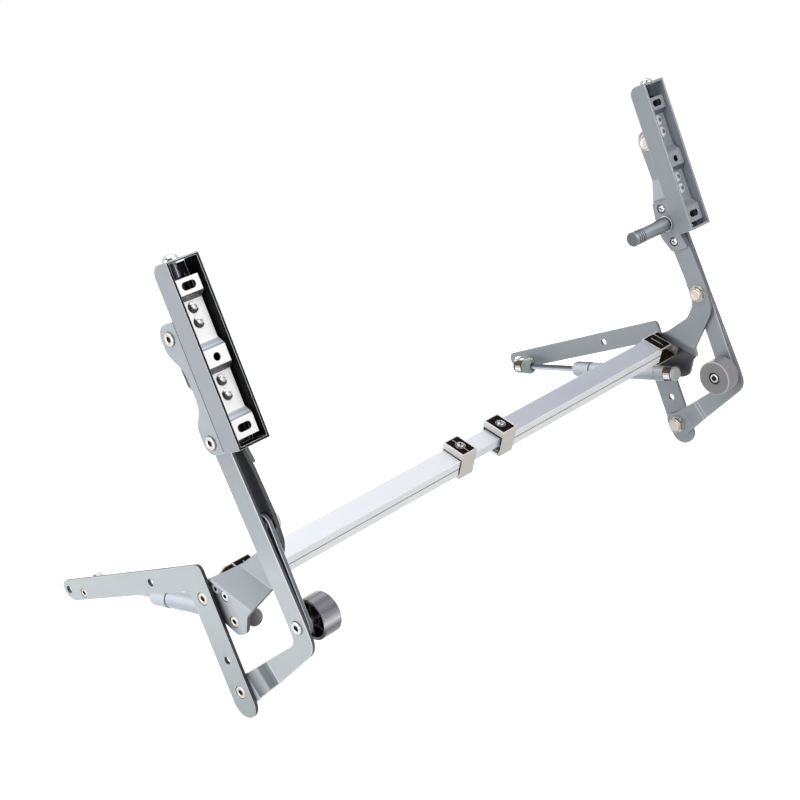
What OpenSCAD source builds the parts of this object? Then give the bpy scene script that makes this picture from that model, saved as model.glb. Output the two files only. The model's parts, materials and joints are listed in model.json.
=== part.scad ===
// Pair of gas-assisted lift arms joined by a telescopic cross tube.
// Each side has a wall bracket, a pressed lift arm and a guide leg that work as a parallelogram,
// a channel that stays upright as it travels, and a gas strut between bracket and arm.
// X points forward out of the cabinet, Y runs from the left unit to the right unit, Z is up.
// The origin is the lower fixing hole of the left bracket, on the face that meets the wall.

/* [Overall] */
// distance between the two wall faces
outer_width = 564; // [480:1:900]
// height of the lift pivot above the lower fixing hole
pivot_height = 49; // [49:0.5:52]
// distance between the lift pivot and the leg pivot
pivot_spacing = 75; // [74:0.5:76]

/* [Sheet metal] */
// thickness of the brackets, arms and legs
sheet_t = 3; // [2.8:0.1:3.1]
// gap between plates that move past each other
plate_gap = 0.4; // [0.35:0.05:0.45]
// radius of the fixing holes in the brackets
fixing_r = 3.2; // [2.8:0.1:3.5]

/* [Pivots] */
// radius of the pivot shanks
shank_r = 3.5; // [3.2:0.1:3.7]
// radial clearance of a running pivot
running_gap = 0.06; // [0.02:0.01:0.1]
// radius of the pivot heads
head_r = 5; // [4.8:0.1:5.2]
// distance across the corners of the nuts
nut_corners = 15.4; // [14.6:0.2:15.8]

/* [Channel] */
// height of the upright channel
channel_h = 132.5; // [130:0.5:136]
// width of the channel over its flanges
channel_w = 27.6; // [27.2:0.2:28.4]
// depth of the channel from web to flange edge
channel_d = 17.5; // [17:0.5:19]
// wall thickness of the channel
channel_t = 2; // [1.8:0.1:2]

/* [Gas strut] */
// radius of the strut cylinder
cylinder_r = 7; // [6.6:0.1:7.2]
// radius of the polished rod
rod_r = 2.8; // [2.6:0.1:3]
// length of rod between its socket and the seal cap
rod_shown = 54.5; // [52:0.5:57]

/* [Cross tube] */
// width of the outer tube profile
tube_w = 19; // [18.6:0.1:19.4]
// height of the outer tube profile
tube_h = 15.5; // [15.1:0.1:15.8]
// sliding clearance round the inner tube
tube_gap = 0.1; // [0.05:0.01:0.15]
// distance between the ends of the two outer tubes
tube_reach = 36.5; // [30:0.5:45]

/* [Roller and peg] */
// radius of the plastic roller
roller_r = 15.8; // [14.5:0.1:16.5]
// width of the plastic roller
roller_w = 16; // [15:0.5:17]
// radius of the peg
peg_r = 6.5; // [5.5:0.1:6.8]
// length of the peg beyond its plate
peg_len = 51; // [40:1:60]

/* [Hidden] */
eps = 0.01;

green_grey = [0.72, 0.76, 0.76];
arm_grey = [0.62, 0.66, 0.69];
nickel = [0.82, 0.79, 0.74];
bright = [0.86, 0.86, 0.85];
alu = [0.84, 0.86, 0.90];
white_grey = [0.80, 0.83, 0.86];
plastic_grey = [0.50, 0.50, 0.51];
dark_plastic = [0.45, 0.46, 0.48];
socket_grey = [0.58, 0.64, 0.62];
dark_steel = [0.25, 0.25, 0.25];

// layers, counted inwards from each wall face
pressed_y = sheet_t + plate_gap;
coupler_y = 5.1;
leg_y = coupler_y + sheet_t + 1.9;
link_t = 3.2;
link_y = leg_y + sheet_t + 1;
arm_y = link_y + link_t + 1;
arm_in = arm_y + sheet_t;
strut_y = 18.5;

// pivots seen from the side, counted from the lift pivot
lift_p = [0, 0];
leg_p = [0, -pivot_spacing];
arm_head_p = [76.5, 184.6];
leg_head_p = arm_head_p + leg_p;
link_p = [83.5, 44];
roller_p = link_p + leg_p;
strut_fixed_p = [-158, 14];
strut_moving_p = [22.5, -20.8];
rear_hole_p = [-177.8, 18.4];
mid_hole_p = [-58, 16.6];
low_hole_p = [0, -pivot_height];
peg_p = [77, 112];

// the strut's tail floats on its stud: its centre sits below the stud when raised
float_offset = [-0.106, -2.472];
strut_rest = strut_moving_p + float_offset;
strut_v = strut_rest - strut_fixed_p;
strut_len = norm(strut_v);
strut_a = atan2(strut_v.y, strut_v.x);
barrel_r = 7.3;
ball_r = 4.8;
socket_reach = 15;
cap_at = socket_reach + rod_shown;
cap_len = 21.5;
tail_at = strut_len - 16;

// the cross tube is rolled about its own length
tube_roll = 51;
tube_p = [22.2, 4.1];
tube_start = 33;
clamp_len = 17;
tube_lap = 68;
clamp_roof = 6;
left_end = outer_width / 2 - 16;
right_end = outer_width - left_end - tube_reach;

// channel limits
chan_x = 89.5;
chan_z = 100.5;
chan_y = 3.1;
strip_y = 16.6;
strip_w = 20;
strip_t = 1.5;
screw_x = chan_x + 8;
screw_len = 12;
rail_low = 3.5;
rail_high = 11;
pad_x = chan_x + 14;
seat_x = chan_x + 9;

// Helpers

// points of one rounded corner
function corner_arc(a, b, c, r, n) =
  let (u = (a - b) / norm(a - b), v = (c - b) / norm(c - b),
       ang = acos(max(-1, min(1, u * v))),
       t = min(r / tan(ang / 2), 0.49 * norm(a - b), 0.49 * norm(c - b)),
       q = t * tan(ang / 2),
       m = b + (u + v) / norm(u + v) * (q / sin(ang / 2)),
       s = b + u * t - m, e = b + v * t - m,
       a0 = atan2(s.y, s.x), d = (atan2(e.y, e.x) - a0 + 540) % 360 - 180)
  [for (i = [0:n]) m + q * [cos(a0 + d * i / n), sin(a0 + d * i / n)]];

// outline from corners given as x, z and radius
function outline(c, n = 5) =
  let (k = len(c))
  [for (i = [0:k - 1])
    let (a = c[(i + k - 1) % k], b = c[i], d = c[(i + 1) % k])
    each (b[2] > 0 ? corner_arc([a.x, a.y], [b.x, b.y], [d.x, d.y], b[2], n) : [[b.x, b.y]])];

// flat plate between two layers, from an outline seen from the side
module plate(y0, y1) {
  translate([0, y1, 0]) rotate([90, 0, 0]) linear_extrude(height = y1 - y0) children();
}

// round bar along Y at a pivot
module bar(p, r, y0, y1, n = 36) {
  translate([p.x, y1, p.y]) rotate([90, 0, 0]) cylinder(r = r, h = y1 - y0, $fn = n);
}

// turned shape about a Y axis, from points of radius and depth
module turned(p, pts, n = 36) {
  translate([p.x, 0, p.y]) rotate([-90, 0, 0]) rotate_extrude($fn = n) polygon(pts);
}

// hexagonal bar along Y
module hex_bar(p, corners, y0, y1, turn = 0) {
  translate([p.x, y1, p.y]) rotate([90, turn, 0]) cylinder(d = corners, h = y1 - y0, $fn = 6);
}

// sheet bent over one joggle: u is measured across the bends, y is the depth
function sheet_section(u0, u1, u2, u3, ya, yb, t) =
  let (d = [u2 - u1, yb - ya] / norm([u2 - u1, yb - ya]),
       k = t * tan(abs(atan2(d.y, d.x)) / 2), s = yb > ya ? -1 : 1)
  outline([[u0, ya, 0], [u1, ya, yb > ya ? 5 : 2], [u2, yb, yb > ya ? 2 : 5], [u3, yb, 0],
           [u3, yb + t, 0], [u2 + s * k, yb + t, yb > ya ? 5 : 2],
           [u1 + s * k, ya + t, yb > ya ? 2 : 5], [u0, ya + t, 0]], 4);

// bent sheet through a point, with the u axis turned up from X by an angle
module bent_sheet(p, angle, u0, u1, u2, u3, ya, yb, width, t = sheet_t) {
  translate([p.x, 0, p.y]) rotate([0, -angle, 0]) translate([0, 0, -width / 2])
    linear_extrude(height = width) polygon(sheet_section(u0, u1, u2, u3, ya, yb, t));
}

// places a shape drawn about the lift pivot on the left or the right unit
module on_left() {
  translate([0, 0, pivot_height]) children();
}
module on_right() {
  translate([0, outer_width, pivot_height]) mirror([0, 1, 0]) children();
}

// shape along the strut, drawn from the fixed pivot along +X
module along_strut() {
  translate([strut_fixed_p.x, strut_y, strut_fixed_p.y]) rotate([0, -strut_a, 0]) children();
}
module round_x(pts, n = 40) {
  rotate([90, 0, 90]) rotate_extrude($fn = n) polygon(pts);
}

// profile of the rolled cross tube: first axis across the tube, second axis up through it
module tube_run(y0, y1) {
  translate([tube_p.x, y1, tube_p.y]) rotate([0, 90 - tube_roll, 0]) rotate([90, 0, 0])
    linear_extrude(height = y1 - y0) children();
}
module rect(x0, y0, x1, y1) {
  translate([x0, y0]) square([x1 - x0, y1 - y0]);
}

// Wall bracket

bracket_c = [[-184.6, 26.2, 7], [12.2, 26, 5], [11.8, -95.4, 12], [-12.4, -95.4, 12],
             [-12.2, 7.2, 9], [-175, 8.6, 6], [-184.8, 13.5, 8]];

module wall_bracket() {
  difference() {
    plate(0, sheet_t) polygon(outline(bracket_c, 6));
    for (p = [rear_hole_p, mid_hole_p, low_hole_p]) bar(p, fixing_r, -1, sheet_t + 1);
    for (p = [lift_p, leg_p]) {
      bar(p, shank_r + 0.05, -1, sheet_t + 1);
      bar(p, head_r + 0.3, -1, 1.7);
    }
    bar(strut_fixed_p, 2.55, -1, sheet_t + 1);
    bar(strut_fixed_p, 4.1, -1, 1.7);
  }
}

// countersunk pivot with a socket, and a flat head or a nut inside
module socket_head(p, r, y0, y1) {
  difference() {
    turned(p, [[0, y0 + 0.4], [r - 0.9, y0], [r, y0 + 0.5], [r, y1], [0, y1]], 32);
    hex_bar(p, r * 0.92, y0 - 1, y0 + (y1 - y0) * 0.75, 15);
  }
}
module nut_shape(p, y0, y1, turn) {
  turned(p, [[0, y0], [nut_corners / 2, y0], [nut_corners / 2, y0 + 0.8], [0, y0 + 0.8]], 32);
  hex_bar(p, nut_corners - 0.6, y0 + 0.6, y1 - 0.9, turn);
  turned(p, [[0, y1 - 1.2], [5.2, y1 - 1.2], [4.8, y1 - 0.1], [0, y1]], 28);
}
module lift_pivot() {
  socket_head(lift_p, head_r, 0.2, 1.7);
  bar(lift_p, shank_r, 1.6, pressed_y + sheet_t + plate_gap + 0.1);
  turned(lift_p, [[0, pressed_y + sheet_t + plate_gap], [6.6, pressed_y + sheet_t + plate_gap],
    [6.6, pressed_y + sheet_t + plate_gap + 1.6], [5.6, pressed_y + sheet_t + plate_gap + 2.4],
    [0, pressed_y + sheet_t + plate_gap + 2.4]], 36);
}
module leg_pivot() {
  socket_head(leg_p, head_r, 0.2, 1.7);
  bar(leg_p, shank_r, 1.6, pressed_y + sheet_t + plate_gap + 0.1);
  nut_shape(leg_p, pressed_y + sheet_t + plate_gap, pressed_y + sheet_t + plate_gap + 6, 12);
}

// Lift arm

arm_c = [[67.4, 194.6, 9.4], [86.4, 194.6, 9.4], [87.2, 101, 20], [91.5, 84, 20],
         [94, 50, 30], [92, 26, 22], [59, -5, 8], [47.2, -14.4, 4], [41, -17.5, 6],
         [31.5, -31, 8], [21.5, -31, 5], [7.5, -17.5, 10], [-10.6, -10.5, 9],
         [-10.6, 11, 10], [17.5, 14.2, 6], [37, 17.2, 12], [63, 25, 14], [74.2, 36, 14],
         [74.4, 60, 30], [72.5, 86.5, 8], [66, 101, 8], [66, 118, 12], [68.6, 134, 20],
         [68.4, 152, 20]];
bend_a = 18.5;
bend_b = 34.5;
tube_screws = [[15.5, 5.5], [23.3, -0.8]];

module lift_arm() {
  // the upper half is this much thinner on each face, so that no faces of the halves coincide
  join = 0.01;
  difference() {
    union() {
      intersection() {
        plate(0, 40) polygon(outline(arm_c));
        bent_sheet(lift_p, tube_roll, -80, bend_a, bend_b, 240, pressed_y, arm_y, 400);
        translate([-50, 0, -50]) cube([250, 40, 170]);
      }
      intersection() {
        plate(0, 40) polygon(outline(arm_c));
        bent_sheet([76, 142], 90, -80, -8.5, 8, 80, arm_y + join, leg_y + join, 100,
          sheet_t - 2 * join);
        translate([0, 0, 118]) cube([150, 40, 100]);
      }
    }
    bar(lift_p, shank_r + running_gap, 0, 12);
    bar(arm_head_p, shank_r + running_gap, 0, 40);
    bar(link_p, shank_r + 0.05, 10, 40);
    bar(strut_moving_p, 2.55, 0, 12);
    bar(strut_moving_p, 4.5, 0, pressed_y + 1.6);
    for (p = tube_screws) {
      bar(p, 2.05, 0, 12);
      bar(p, 4.1, 0, pressed_y + 1.5);
    }
  }
}

// Guide leg

leg_c = [[leg_head_p.x - 9.5, leg_head_p.y + 9.6, 9.4], [leg_head_p.x + 9.4, leg_head_p.y + 9.3, 9.3],
         [roller_p.x + 9.4, roller_p.y, 30], [roller_p.x + 9.2, leg_p.y + 25, 23],
         [6, leg_p.y - 11, 8], [-11, leg_p.y - 11, 9], [-11, leg_p.y + 11, 9], [2, leg_p.y + 11, 8],
         [roller_p.x - 10.2, leg_p.y + 32, 8], [roller_p.x - 9.8, roller_p.y + 4, 30]];

module guide_leg() {
  difference() {
    intersection() {
      plate(0, 40) polygon(outline(leg_c, 6));
      bent_sheet(leg_p, 17, -60, 15, 36, 300, pressed_y, leg_y, 500);
    }
    bar(leg_p, shank_r + running_gap, 0, 12);
    bar(leg_head_p, shank_r + running_gap, 0, 40);
    bar(roller_p, 4.05, 0, 40);
  }
}

// Link bar between arm and leg

module link_bar() {
  w = 8.5;
  difference() {
    plate(link_y, link_y + link_t)
      polygon(outline([[link_p.x - w, link_p.y + w, w - 0.1], [link_p.x + w, link_p.y + w, w - 0.1],
        [roller_p.x + w, roller_p.y - w, w - 0.1], [roller_p.x - w, roller_p.y - w, w - 0.1]], 8));
    bar(link_p, shank_r + running_gap, 0, 40);
    bar(link_p, head_r + 0.3, 0, link_y + 1.4);
    bar(roller_p, 4 + running_gap, 0, 40);
  }
}
module link_pivot() {
  turned(link_p, [[0, link_y + 0.1], [head_r, link_y + 0.1], [head_r, link_y + 1.3],
    [0, link_y + 1.3]], 32);
  bar(link_p, shank_r, link_y + 1.2, arm_in + 0.1);
  bar(link_p, 6.6, link_y + link_t + 0.3, arm_y, 32);
  nut_shape(link_p, arm_in, arm_in + 5.6, 20);
}

// Coupler plate and its pivots

coupler_c = [[66.4, 195, 10], [88, 195, 4], [96.8, 191, 3], [96.8, 103.2, 2], [88.2, 103.2, 0.8],
             [86.2, 100.4, 2], [67.2, 100.4, 9], [67.2, 122, 12], [78, 134, 16],
             [78, 160, 16], [66.4, 175, 10]];

module coupler_plate() {
  difference() {
    plate(coupler_y, coupler_y + sheet_t) polygon(outline(coupler_c, 6));
    bar(arm_head_p, shank_r + 0.05, 0, 40);
    bar(leg_head_p, shank_r + 0.05, 0, 40);
  }
}
module arm_head_pivot() {
  socket_head(arm_head_p, head_r, coupler_y - 1.6, coupler_y);
  bar(arm_head_p, shank_r, coupler_y - 0.1, leg_y + sheet_t + plate_gap + 0.1);
  bar(arm_head_p, 6.4, coupler_y + sheet_t, leg_y - plate_gap, 32);
  nut_shape(arm_head_p, leg_y + sheet_t + plate_gap, leg_y + sheet_t + plate_gap + 4.4, 8);
}
module leg_head_pivot() {
  socket_head(leg_head_p, head_r, coupler_y - 1.6, coupler_y);
  bar(leg_head_p, shank_r, coupler_y - 0.1, leg_y + sheet_t + 0.5);
  bar(leg_head_p, 6.4, coupler_y + sheet_t, leg_y - plate_gap, 32);
  nut_shape(leg_head_p, leg_y + sheet_t + plate_gap, arm_y - 0.6, 25);
}

// Upright channel

module channel() {
  x1 = chan_x + channel_d;
  z1 = chan_z + channel_h;
  side = outline([[chan_x, chan_z, 1.5], [x1, chan_z, 1], [x1, z1, 1.5], [chan_x, z1, 8]], 6);
  difference() {
    plate(chan_y, chan_y + channel_w) polygon(side);
    translate([chan_x + channel_t, chan_y + channel_t, chan_z + channel_t])
      cube([50, channel_w - 2 * channel_t, channel_h - 2 * channel_t]);
    translate([chan_x - 1, coupler_y, chan_z + channel_t])
      cube([channel_t + 2, sheet_t + 0.1, 196 - chan_z - channel_t]);
    translate([97.5, strip_y - 2, z1 - 5]) cylinder(r = 2.6, h = 10, $fn = 28);
  }
}
module channel_screw() {
  z1 = chan_z + channel_h;
  translate([screw_x, strip_y - 2, 0]) {
    difference() {
      rotate_extrude($fn = 36) polygon([[0, z1], [6, z1], [5.9, z1 + 1.2], [5, z1 + 2.7],
        [3.4, z1 + 3.7], [1.6, z1 + 4.1], [0, z1 + 4.2]]);
      translate([0, 0, z1 + 2.4]) cylinder(r = 1.9, h = 4, $fn = 6);
    }
    translate([0, 0, z1 - screw_len]) cylinder(r = 2.5, h = screw_len + 0.1, $fn = 28);
  }
}

// strip with three raised pads, pressed from one band and riveted at its low pads
strip_f = [[pad_x, 219.5], [pad_x, 208.2], [seat_x, 204.6], [seat_x, 175.6], [pad_x, 170.2],
           [pad_x, 157.4], [seat_x, 153.6], [seat_x, 126], [pad_x, 120.6], [pad_x, 106.8]];
module mounting_strip() {
  front = [for (i = [0:9]) [strip_f[i].x, strip_f[i].y, i == 0 || i == 9 ? 0 : 1.6]];
  back = [for (i = [9:-1:0]) [strip_f[i].x - strip_t, strip_f[i].y, i == 0 || i == 9 ? 0 : 0.8]];
  difference() {
    plate(strip_y - strip_w / 2, strip_y + strip_w / 2) polygon(outline(concat(front, back), 3));
    translate([pad_x - 5, strip_y, 163.6]) rotate([0, 90, 0]) cylinder(r = 2.9, h = 10, $fn = 32);
    for (z = [213.9, 113.6]) translate([pad_x - 5, 0, z]) {
      for (d = [-3.1, 3.1]) translate([0, strip_y + d, 0]) rotate([0, 90, 0])
        cylinder(r = 2.8, h = 10, $fn = 32);
      translate([0, strip_y - 3.1, -2.8]) cube([10, 6.2, 5.6]);
    }
  }
  for (z = [199.4, 189, 148, 137.6]) translate([seat_x, strip_y, z]) rotate([0, 90, 0])
    rotate_extrude($fn = 28) polygon([[0, -0.1], [4.3, -0.1], [4.1, 0.7], [3.2, 1.7], [1.8, 2.3],
      [0, 2.5]]);
}
module adjuster_rail() {
  x0 = chan_x + channel_t;
  x1 = seat_x - strip_t;
  difference() {
    translate([x0, 9.6, chan_z + rail_low]) cube([x1 - x0, 12.6, channel_h - rail_low - rail_high]);
    translate([x0 + 1.4, 11.2, chan_z]) cube([x1, 9.4, channel_h]);
  }
}

// Peg and its plate

plate_t = 3;
peg_plate_c = [[69, 132.4, 1.5], [86.2, 132.4, 1.5], [87.4, 101, 6], [90.6, 86.6, 1.5],
               [73, 86.6, 2], [66.6, 101, 5], [66.6, 118, 8]];
peg_screws = [[76.6, 125.6], [78.4, 94.6]];
module peg_plate(peg_hole) {
  difference() {
    plate(arm_in, arm_in + plate_t) polygon(outline(peg_plate_c, 4));
    if (peg_hole) bar(peg_p, peg_r + 0.05, 0, 60);
    for (p = peg_screws) bar(p, 4.3, arm_in + plate_t - 1.6, 60, 28);
  }
  for (p = peg_screws) difference() {
    turned(p, [[0, arm_in + 1], [3.7, arm_in + 1], [3.7, arm_in + 2], [2.8, arm_in + 2.9],
      [0, arm_in + 3.2]], 28);
    for (k = [0, 90]) translate([p.x, arm_in + 3, p.y]) rotate([0, k + 20, 0])
      cube([4.4, 1.8, 0.9], center = true);
  }
}
module peg() {
  y0 = arm_in;
  y1 = arm_in + plate_t + peg_len;
  grooves = [for (k = [2:-1:0]) each [[peg_r, y1 - 4 - k * 3.2 - 1.4], [peg_r - 0.7, y1 - 4 - k * 3.2 - 1.2],
    [peg_r - 0.7, y1 - 4 - k * 3.2 - 0.2], [peg_r, y1 - 4 - k * 3.2]]];
  turned(peg_p, concat([[0, y0], [peg_r, y0], [peg_r, y0 + plate_t + 1.5],
    [peg_r - 0.8, y0 + plate_t + 1.8], [peg_r - 0.8, y0 + plate_t + 3], [peg_r, y0 + plate_t + 3.3]],
    grooves, [[peg_r, y1 - 1], [peg_r - 1, y1], [0, y1]]), 40);
}

// Roller and axle

roller_y = arm_in + 1.2;
module roller() {
  y0 = roller_y;
  y1 = roller_y + roller_w;
  r = roller_r;
  turned(roller_p, [[4 + running_gap, y0 + 2], [7, y0 + 2], [7, y1 - 4], [r - 2.4, y1 - 4],
    [r - 2.4, y0], [r - 0.6, y0], [r, y0 + 0.6], [r, y1 - 1], [r - 1, y1], [5.4, y1],
    [5.4, y1 - 2.4], [4 + running_gap, y1 - 2.4]], 56);
  for (k = [0:60:300]) translate([roller_p.x, 0, roller_p.y]) rotate([0, k, 0])
    translate([6.5, y0 + 2.4, -0.7]) cube([r - 2.4 - 6, y1 - y0 - 6, 1.4]);
}
module roller_axle() {
  socket_head(roller_p, head_r, leg_y - 1.6, leg_y);
  bar(roller_p, 4, leg_y - 0.1, roller_y + roller_w - 2.2);
  bar(roller_p, 6.6, arm_y - 0.1, roller_y + 1.7, 32);
  difference() {
    turned(roller_p, [[0, roller_y + roller_w - 2.3], [5.2, roller_y + roller_w - 2.3],
      [5.2, roller_y + roller_w - 0.6], [4.7, roller_y + roller_w - 0.2],
      [0, roller_y + roller_w - 0.2]], 32);
    hex_bar(roller_p, 4.8, roller_y + roller_w - 1.6, roller_y + roller_w + 1, 10);
  }
}

// Gas strut

module rod_stud() {
  p = strut_fixed_p;
  socket_head(p, 3.9, 0.2, 1.7);
  bar(p, 2.5, 1.6, strut_y - 3.5);
  turned(p, [[0, sheet_t], [4.4, sheet_t], [4.4, sheet_t + 1.4], [3, sheet_t + 2.6],
    [0, sheet_t + 2.6]], 28);
  turned(p, concat([[0, strut_y - 4]],
    [for (k = [-54:16:90]) [ball_r * cos(k), strut_y + ball_r * sin(k)]]), 28);
}
// barrel with a clip band round its ball, its closed end towards -X
module rod_socket() {
  difference() {
    along_strut() round_x([[0, -6.6], [5.4, -6.6], [6.7, -5.2], [6.9, -2.4], [barrel_r + 0.3, -2.3],
      [barrel_r + 0.3, 4.8], [barrel_r, 4.9], [barrel_r, socket_reach - 2.4],
      [barrel_r - 0.8, socket_reach - 0.8], [barrel_r - 2.4, socket_reach], [0, socket_reach]], 40);
    turned(strut_fixed_p, concat([[0, strut_y - 9], [ball_r - 0.7, strut_y - 9]],
      [for (k = [-36:14:90]) [(ball_r + 0.06) * cos(k), strut_y + (ball_r + 0.06) * sin(k)]]), 28);
    along_strut() round_x([[0, 9], [rod_r + 0.03, 9], [rod_r + 0.03, 40], [0, 40]], 32);
  }
}
module strut_rod() {
  along_strut() {
    round_x([[0, 9.2], [rod_r, 9.2], [rod_r, cap_at + cap_len + 3],
      [cylinder_r - 1.1, cap_at + cap_len + 3], [cylinder_r - 1.1, cap_at + cap_len + 11],
      [0, cap_at + cap_len + 11]], 32);
  }
}
module strut_cylinder() {
  a = cap_at + cap_len;
  along_strut() round_x([[cylinder_r - 1, a], [cylinder_r - 0.3, a], [cylinder_r, a + 0.4],
    [cylinder_r, tail_at - 1], [cylinder_r - 0.6, tail_at - 0.2], [0, tail_at - 0.2],
    [0, tail_at - 3], [cylinder_r - 1, tail_at - 3]], 40);
}
module seal_cap() {
  r = cylinder_r + 0.4;
  end = cap_at + cap_len;
  along_strut() round_x([[rod_r + 0.06, cap_at], [r - 2.6, cap_at], [r - 1.3, cap_at + 0.8],
    [r - 0.4, cap_at + 2.2], [r, cap_at + 4], [r, end - 0.6], [r - 0.4, end], [rod_r + 0.06, end]], 40);
}
float_r = 5.2;
// barrel with a clip band, its closed end forward of the stud
module tail_socket() {
  p = strut_rest;
  u = strut_len;
  difference() {
    along_strut() round_x([[0, tail_at - 0.2], [barrel_r - 0.5, tail_at - 0.2],
      [barrel_r - 0.1, tail_at + 0.3], [barrel_r - 0.1, u - 5.1], [barrel_r + 0.2, u - 5],
      [barrel_r + 0.2, u + 2.3], [barrel_r - 0.4, u + 2.4],
      [barrel_r - 0.5, u + 4.8], [barrel_r - 1.1, u + 6.1], [barrel_r - 2.2, u + 6.6],
      [0, u + 6.6]], 40);
    bar(p, float_r, 0, strut_y + 3.2, 40);
  }
}
module tail_stud() {
  socket_head(strut_moving_p, 4.3, pressed_y + 0.1, pressed_y + 1.6);
  bar(strut_moving_p, 2.5, pressed_y + 1.5, strut_y + 2.6);
}

// Cross tube

module tube_bracket() {
  w = tube_w / 2;
  h = tube_h / 2;
  u0 = tube_p * [cos(tube_roll), sin(tube_roll)];
  y0 = pressed_y + sheet_t;
  y1 = tube_start + 5;
  difference() {
    union() {
      // base plate against the arm
      tube_run(y0, y0 + 1.5) rect(-w - 1.3, -h - 1.3, w + 1.3, bend_a - 1.4 - u0);
      // back wall, floor and roof around the tube
      tube_run(y0, y1) rect(-w - 1.3, -h - 1.3, -w, h + 1.3);
      tube_run(y0, y1) rect(-w - 1.3, -h - 1.3, w + 1.3, -h);
      tube_run(y1 - 16.5, y1) rect(-w - 1.3, h, w + 1.3, h + 1.3);
    }
    joggle_space();
  }
  for (p = tube_screws) {
    socket_head(p, 3.9, pressed_y + 0.1, pressed_y + 1.5);
    bar(p, 2, pressed_y + 1.4, y0 + 0.1, 28);
    hex_bar(p, 7, y0 + 1.4, y0 + 4, 5);
  }
}
// wedge that holds the arm's joggle, kept free of the tube bracket
module joggle_space() {
  y0 = pressed_y + sheet_t;
  rotate([0, -tube_roll, 0]) translate([0, 0, -60]) linear_extrude(height = 120)
    polygon([[bend_a - 1.3, y0 - 3], [bend_a - 1.3, y0], [bend_b - 0.6, arm_in + 0.4],
      [80, arm_in + 0.4], [80, y0 - 3]]);
}
module outer_profile() {
  w = tube_w / 2;
  h = tube_h / 2;
  difference() {
    rect(-w, -h, w, h);
    rect(-w + 1.1, -1.2, w - 1.1, h - 0.9);
    rect(-w + 1.1, -h + 0.9, w - 1.1, -2.2);
    rect(-w - 1, -0.3, -w + 0.5, 0.5);
    rect(w - 0.5, -0.3, w + 1, 0.5);
  }
}
module outer_tube(y_end) {
  tube_run(tube_start, y_end) outer_profile();
}
module clamp(y_end) {
  w = tube_w / 2;
  h = tube_h / 2;
  difference() {
    tube_run(y_end - clamp_len + 1.5, y_end + 1.5) difference() {
      rect(-w - 1.5, -h - 2.4, w + 1.5, h + clamp_roof + 0.4);
      rect(-w, -h, w, h + 0.7);
    }
    // shallow dark panel sunk in the roof
    tube_run(y_end - clamp_len + 2.7, y_end + 0.3)
      rect(-w - 0.2, h + clamp_roof, w + 0.2, h + clamp_roof + 1);
    tube_screw_axis(y_end) translate([0, 0, -20]) cylinder(r = 2.05, h = 40, $fn = 28);
  }
}
// upright screw axis through the clamp roof, starting at the roof panel
module tube_screw_axis(y_end) {
  translate([tube_p.x, y_end - clamp_len / 2 + 1.5, tube_p.y]) rotate([0, 90 - tube_roll, 0])
    translate([0, 0, tube_h / 2 + clamp_roof]) children();
}
module clamp_screw(y_end) {
  tube_screw_axis(y_end) {
    difference() {
      rotate_extrude($fn = 32) polygon([[0, 0], [4.4, 0], [4.4, 0.5], [3.6, 1.5], [1.8, 2], [0, 2.1]]);
      for (k = [0, 90]) rotate([0, 0, k + 30]) translate([0, 0, 2])
        cube([3.8, 0.8, 1.8], center = true);
    }
    translate([0, 0, -4.2]) cylinder(r = 2, h = 4.3, $fn = 28);
  }
}
module inner_tube() {
  color(alu) translate([0, 0, pivot_height]) {
    w = tube_w / 2 - 1.1 - tube_gap;
    y0 = left_end - tube_lap;
    y1 = outer_width - right_end + tube_lap;
    tube_run(y0, y1) difference() {
      rect(-w, -1.2 + tube_gap, w, tube_h / 2 - 0.9 - tube_gap);
      rect(-w + 1.3, 0.1 + tube_gap, w - 1.3, tube_h / 2 - 2.2 - tube_gap);
    }
  }
}

// Left unit

module left_wall_bracket() { color(green_grey) on_left() wall_bracket(); }
module left_lift_pivot() { color(nickel) on_left() lift_pivot(); }
module left_leg_pivot() { color(nickel) on_left() leg_pivot(); }
module left_lift_arm() { color(arm_grey) on_left() lift_arm(); }
module left_guide_leg() { color(green_grey) on_left() guide_leg(); }
module left_link_bar() { color(arm_grey) on_left() link_bar(); }
module left_link_pivot() { color(nickel) on_left() link_pivot(); }
module left_coupler_plate() { color(arm_grey) on_left() coupler_plate(); }
module left_arm_head_pivot() { color(nickel) on_left() arm_head_pivot(); }
module left_leg_head_pivot() { color(nickel) on_left() leg_head_pivot(); }
module left_channel() { color(arm_grey) on_left() channel(); }
module left_channel_screw() { color(bright) on_left() channel_screw(); }
module left_mounting_strip() { color(bright) on_left() mounting_strip(); }
module left_adjuster_rail() { color(dark_steel) on_left() adjuster_rail(); }
module left_peg_plate() { color(arm_grey) on_left() peg_plate(false); }
module left_roller() { color(plastic_grey) on_left() roller(); }
module left_roller_axle() { color(nickel) on_left() roller_axle(); }
module left_rod_stud() { color(nickel) on_left() rod_stud(); }
module left_rod_socket() { color(socket_grey) on_left() rod_socket(); }
module left_strut_rod() { color(bright) on_left() strut_rod(); }
module left_strut_cylinder() { color(white_grey) on_left() strut_cylinder(); }
module left_seal_cap() { color(white_grey) on_left() seal_cap(); }
module left_tail_socket() { color(dark_plastic) on_left() tail_socket(); }
module left_tail_stud() { color(nickel) on_left() tail_stud(); }
module left_tube_bracket() { color(nickel) on_left() tube_bracket(); }
module left_outer_tube() { color(alu) on_left() outer_tube(left_end); }
module left_clamp() { color(nickel) on_left() clamp(left_end); }
module left_clamp_screw() { color(bright) on_left() clamp_screw(left_end); }

// Right unit

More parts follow.
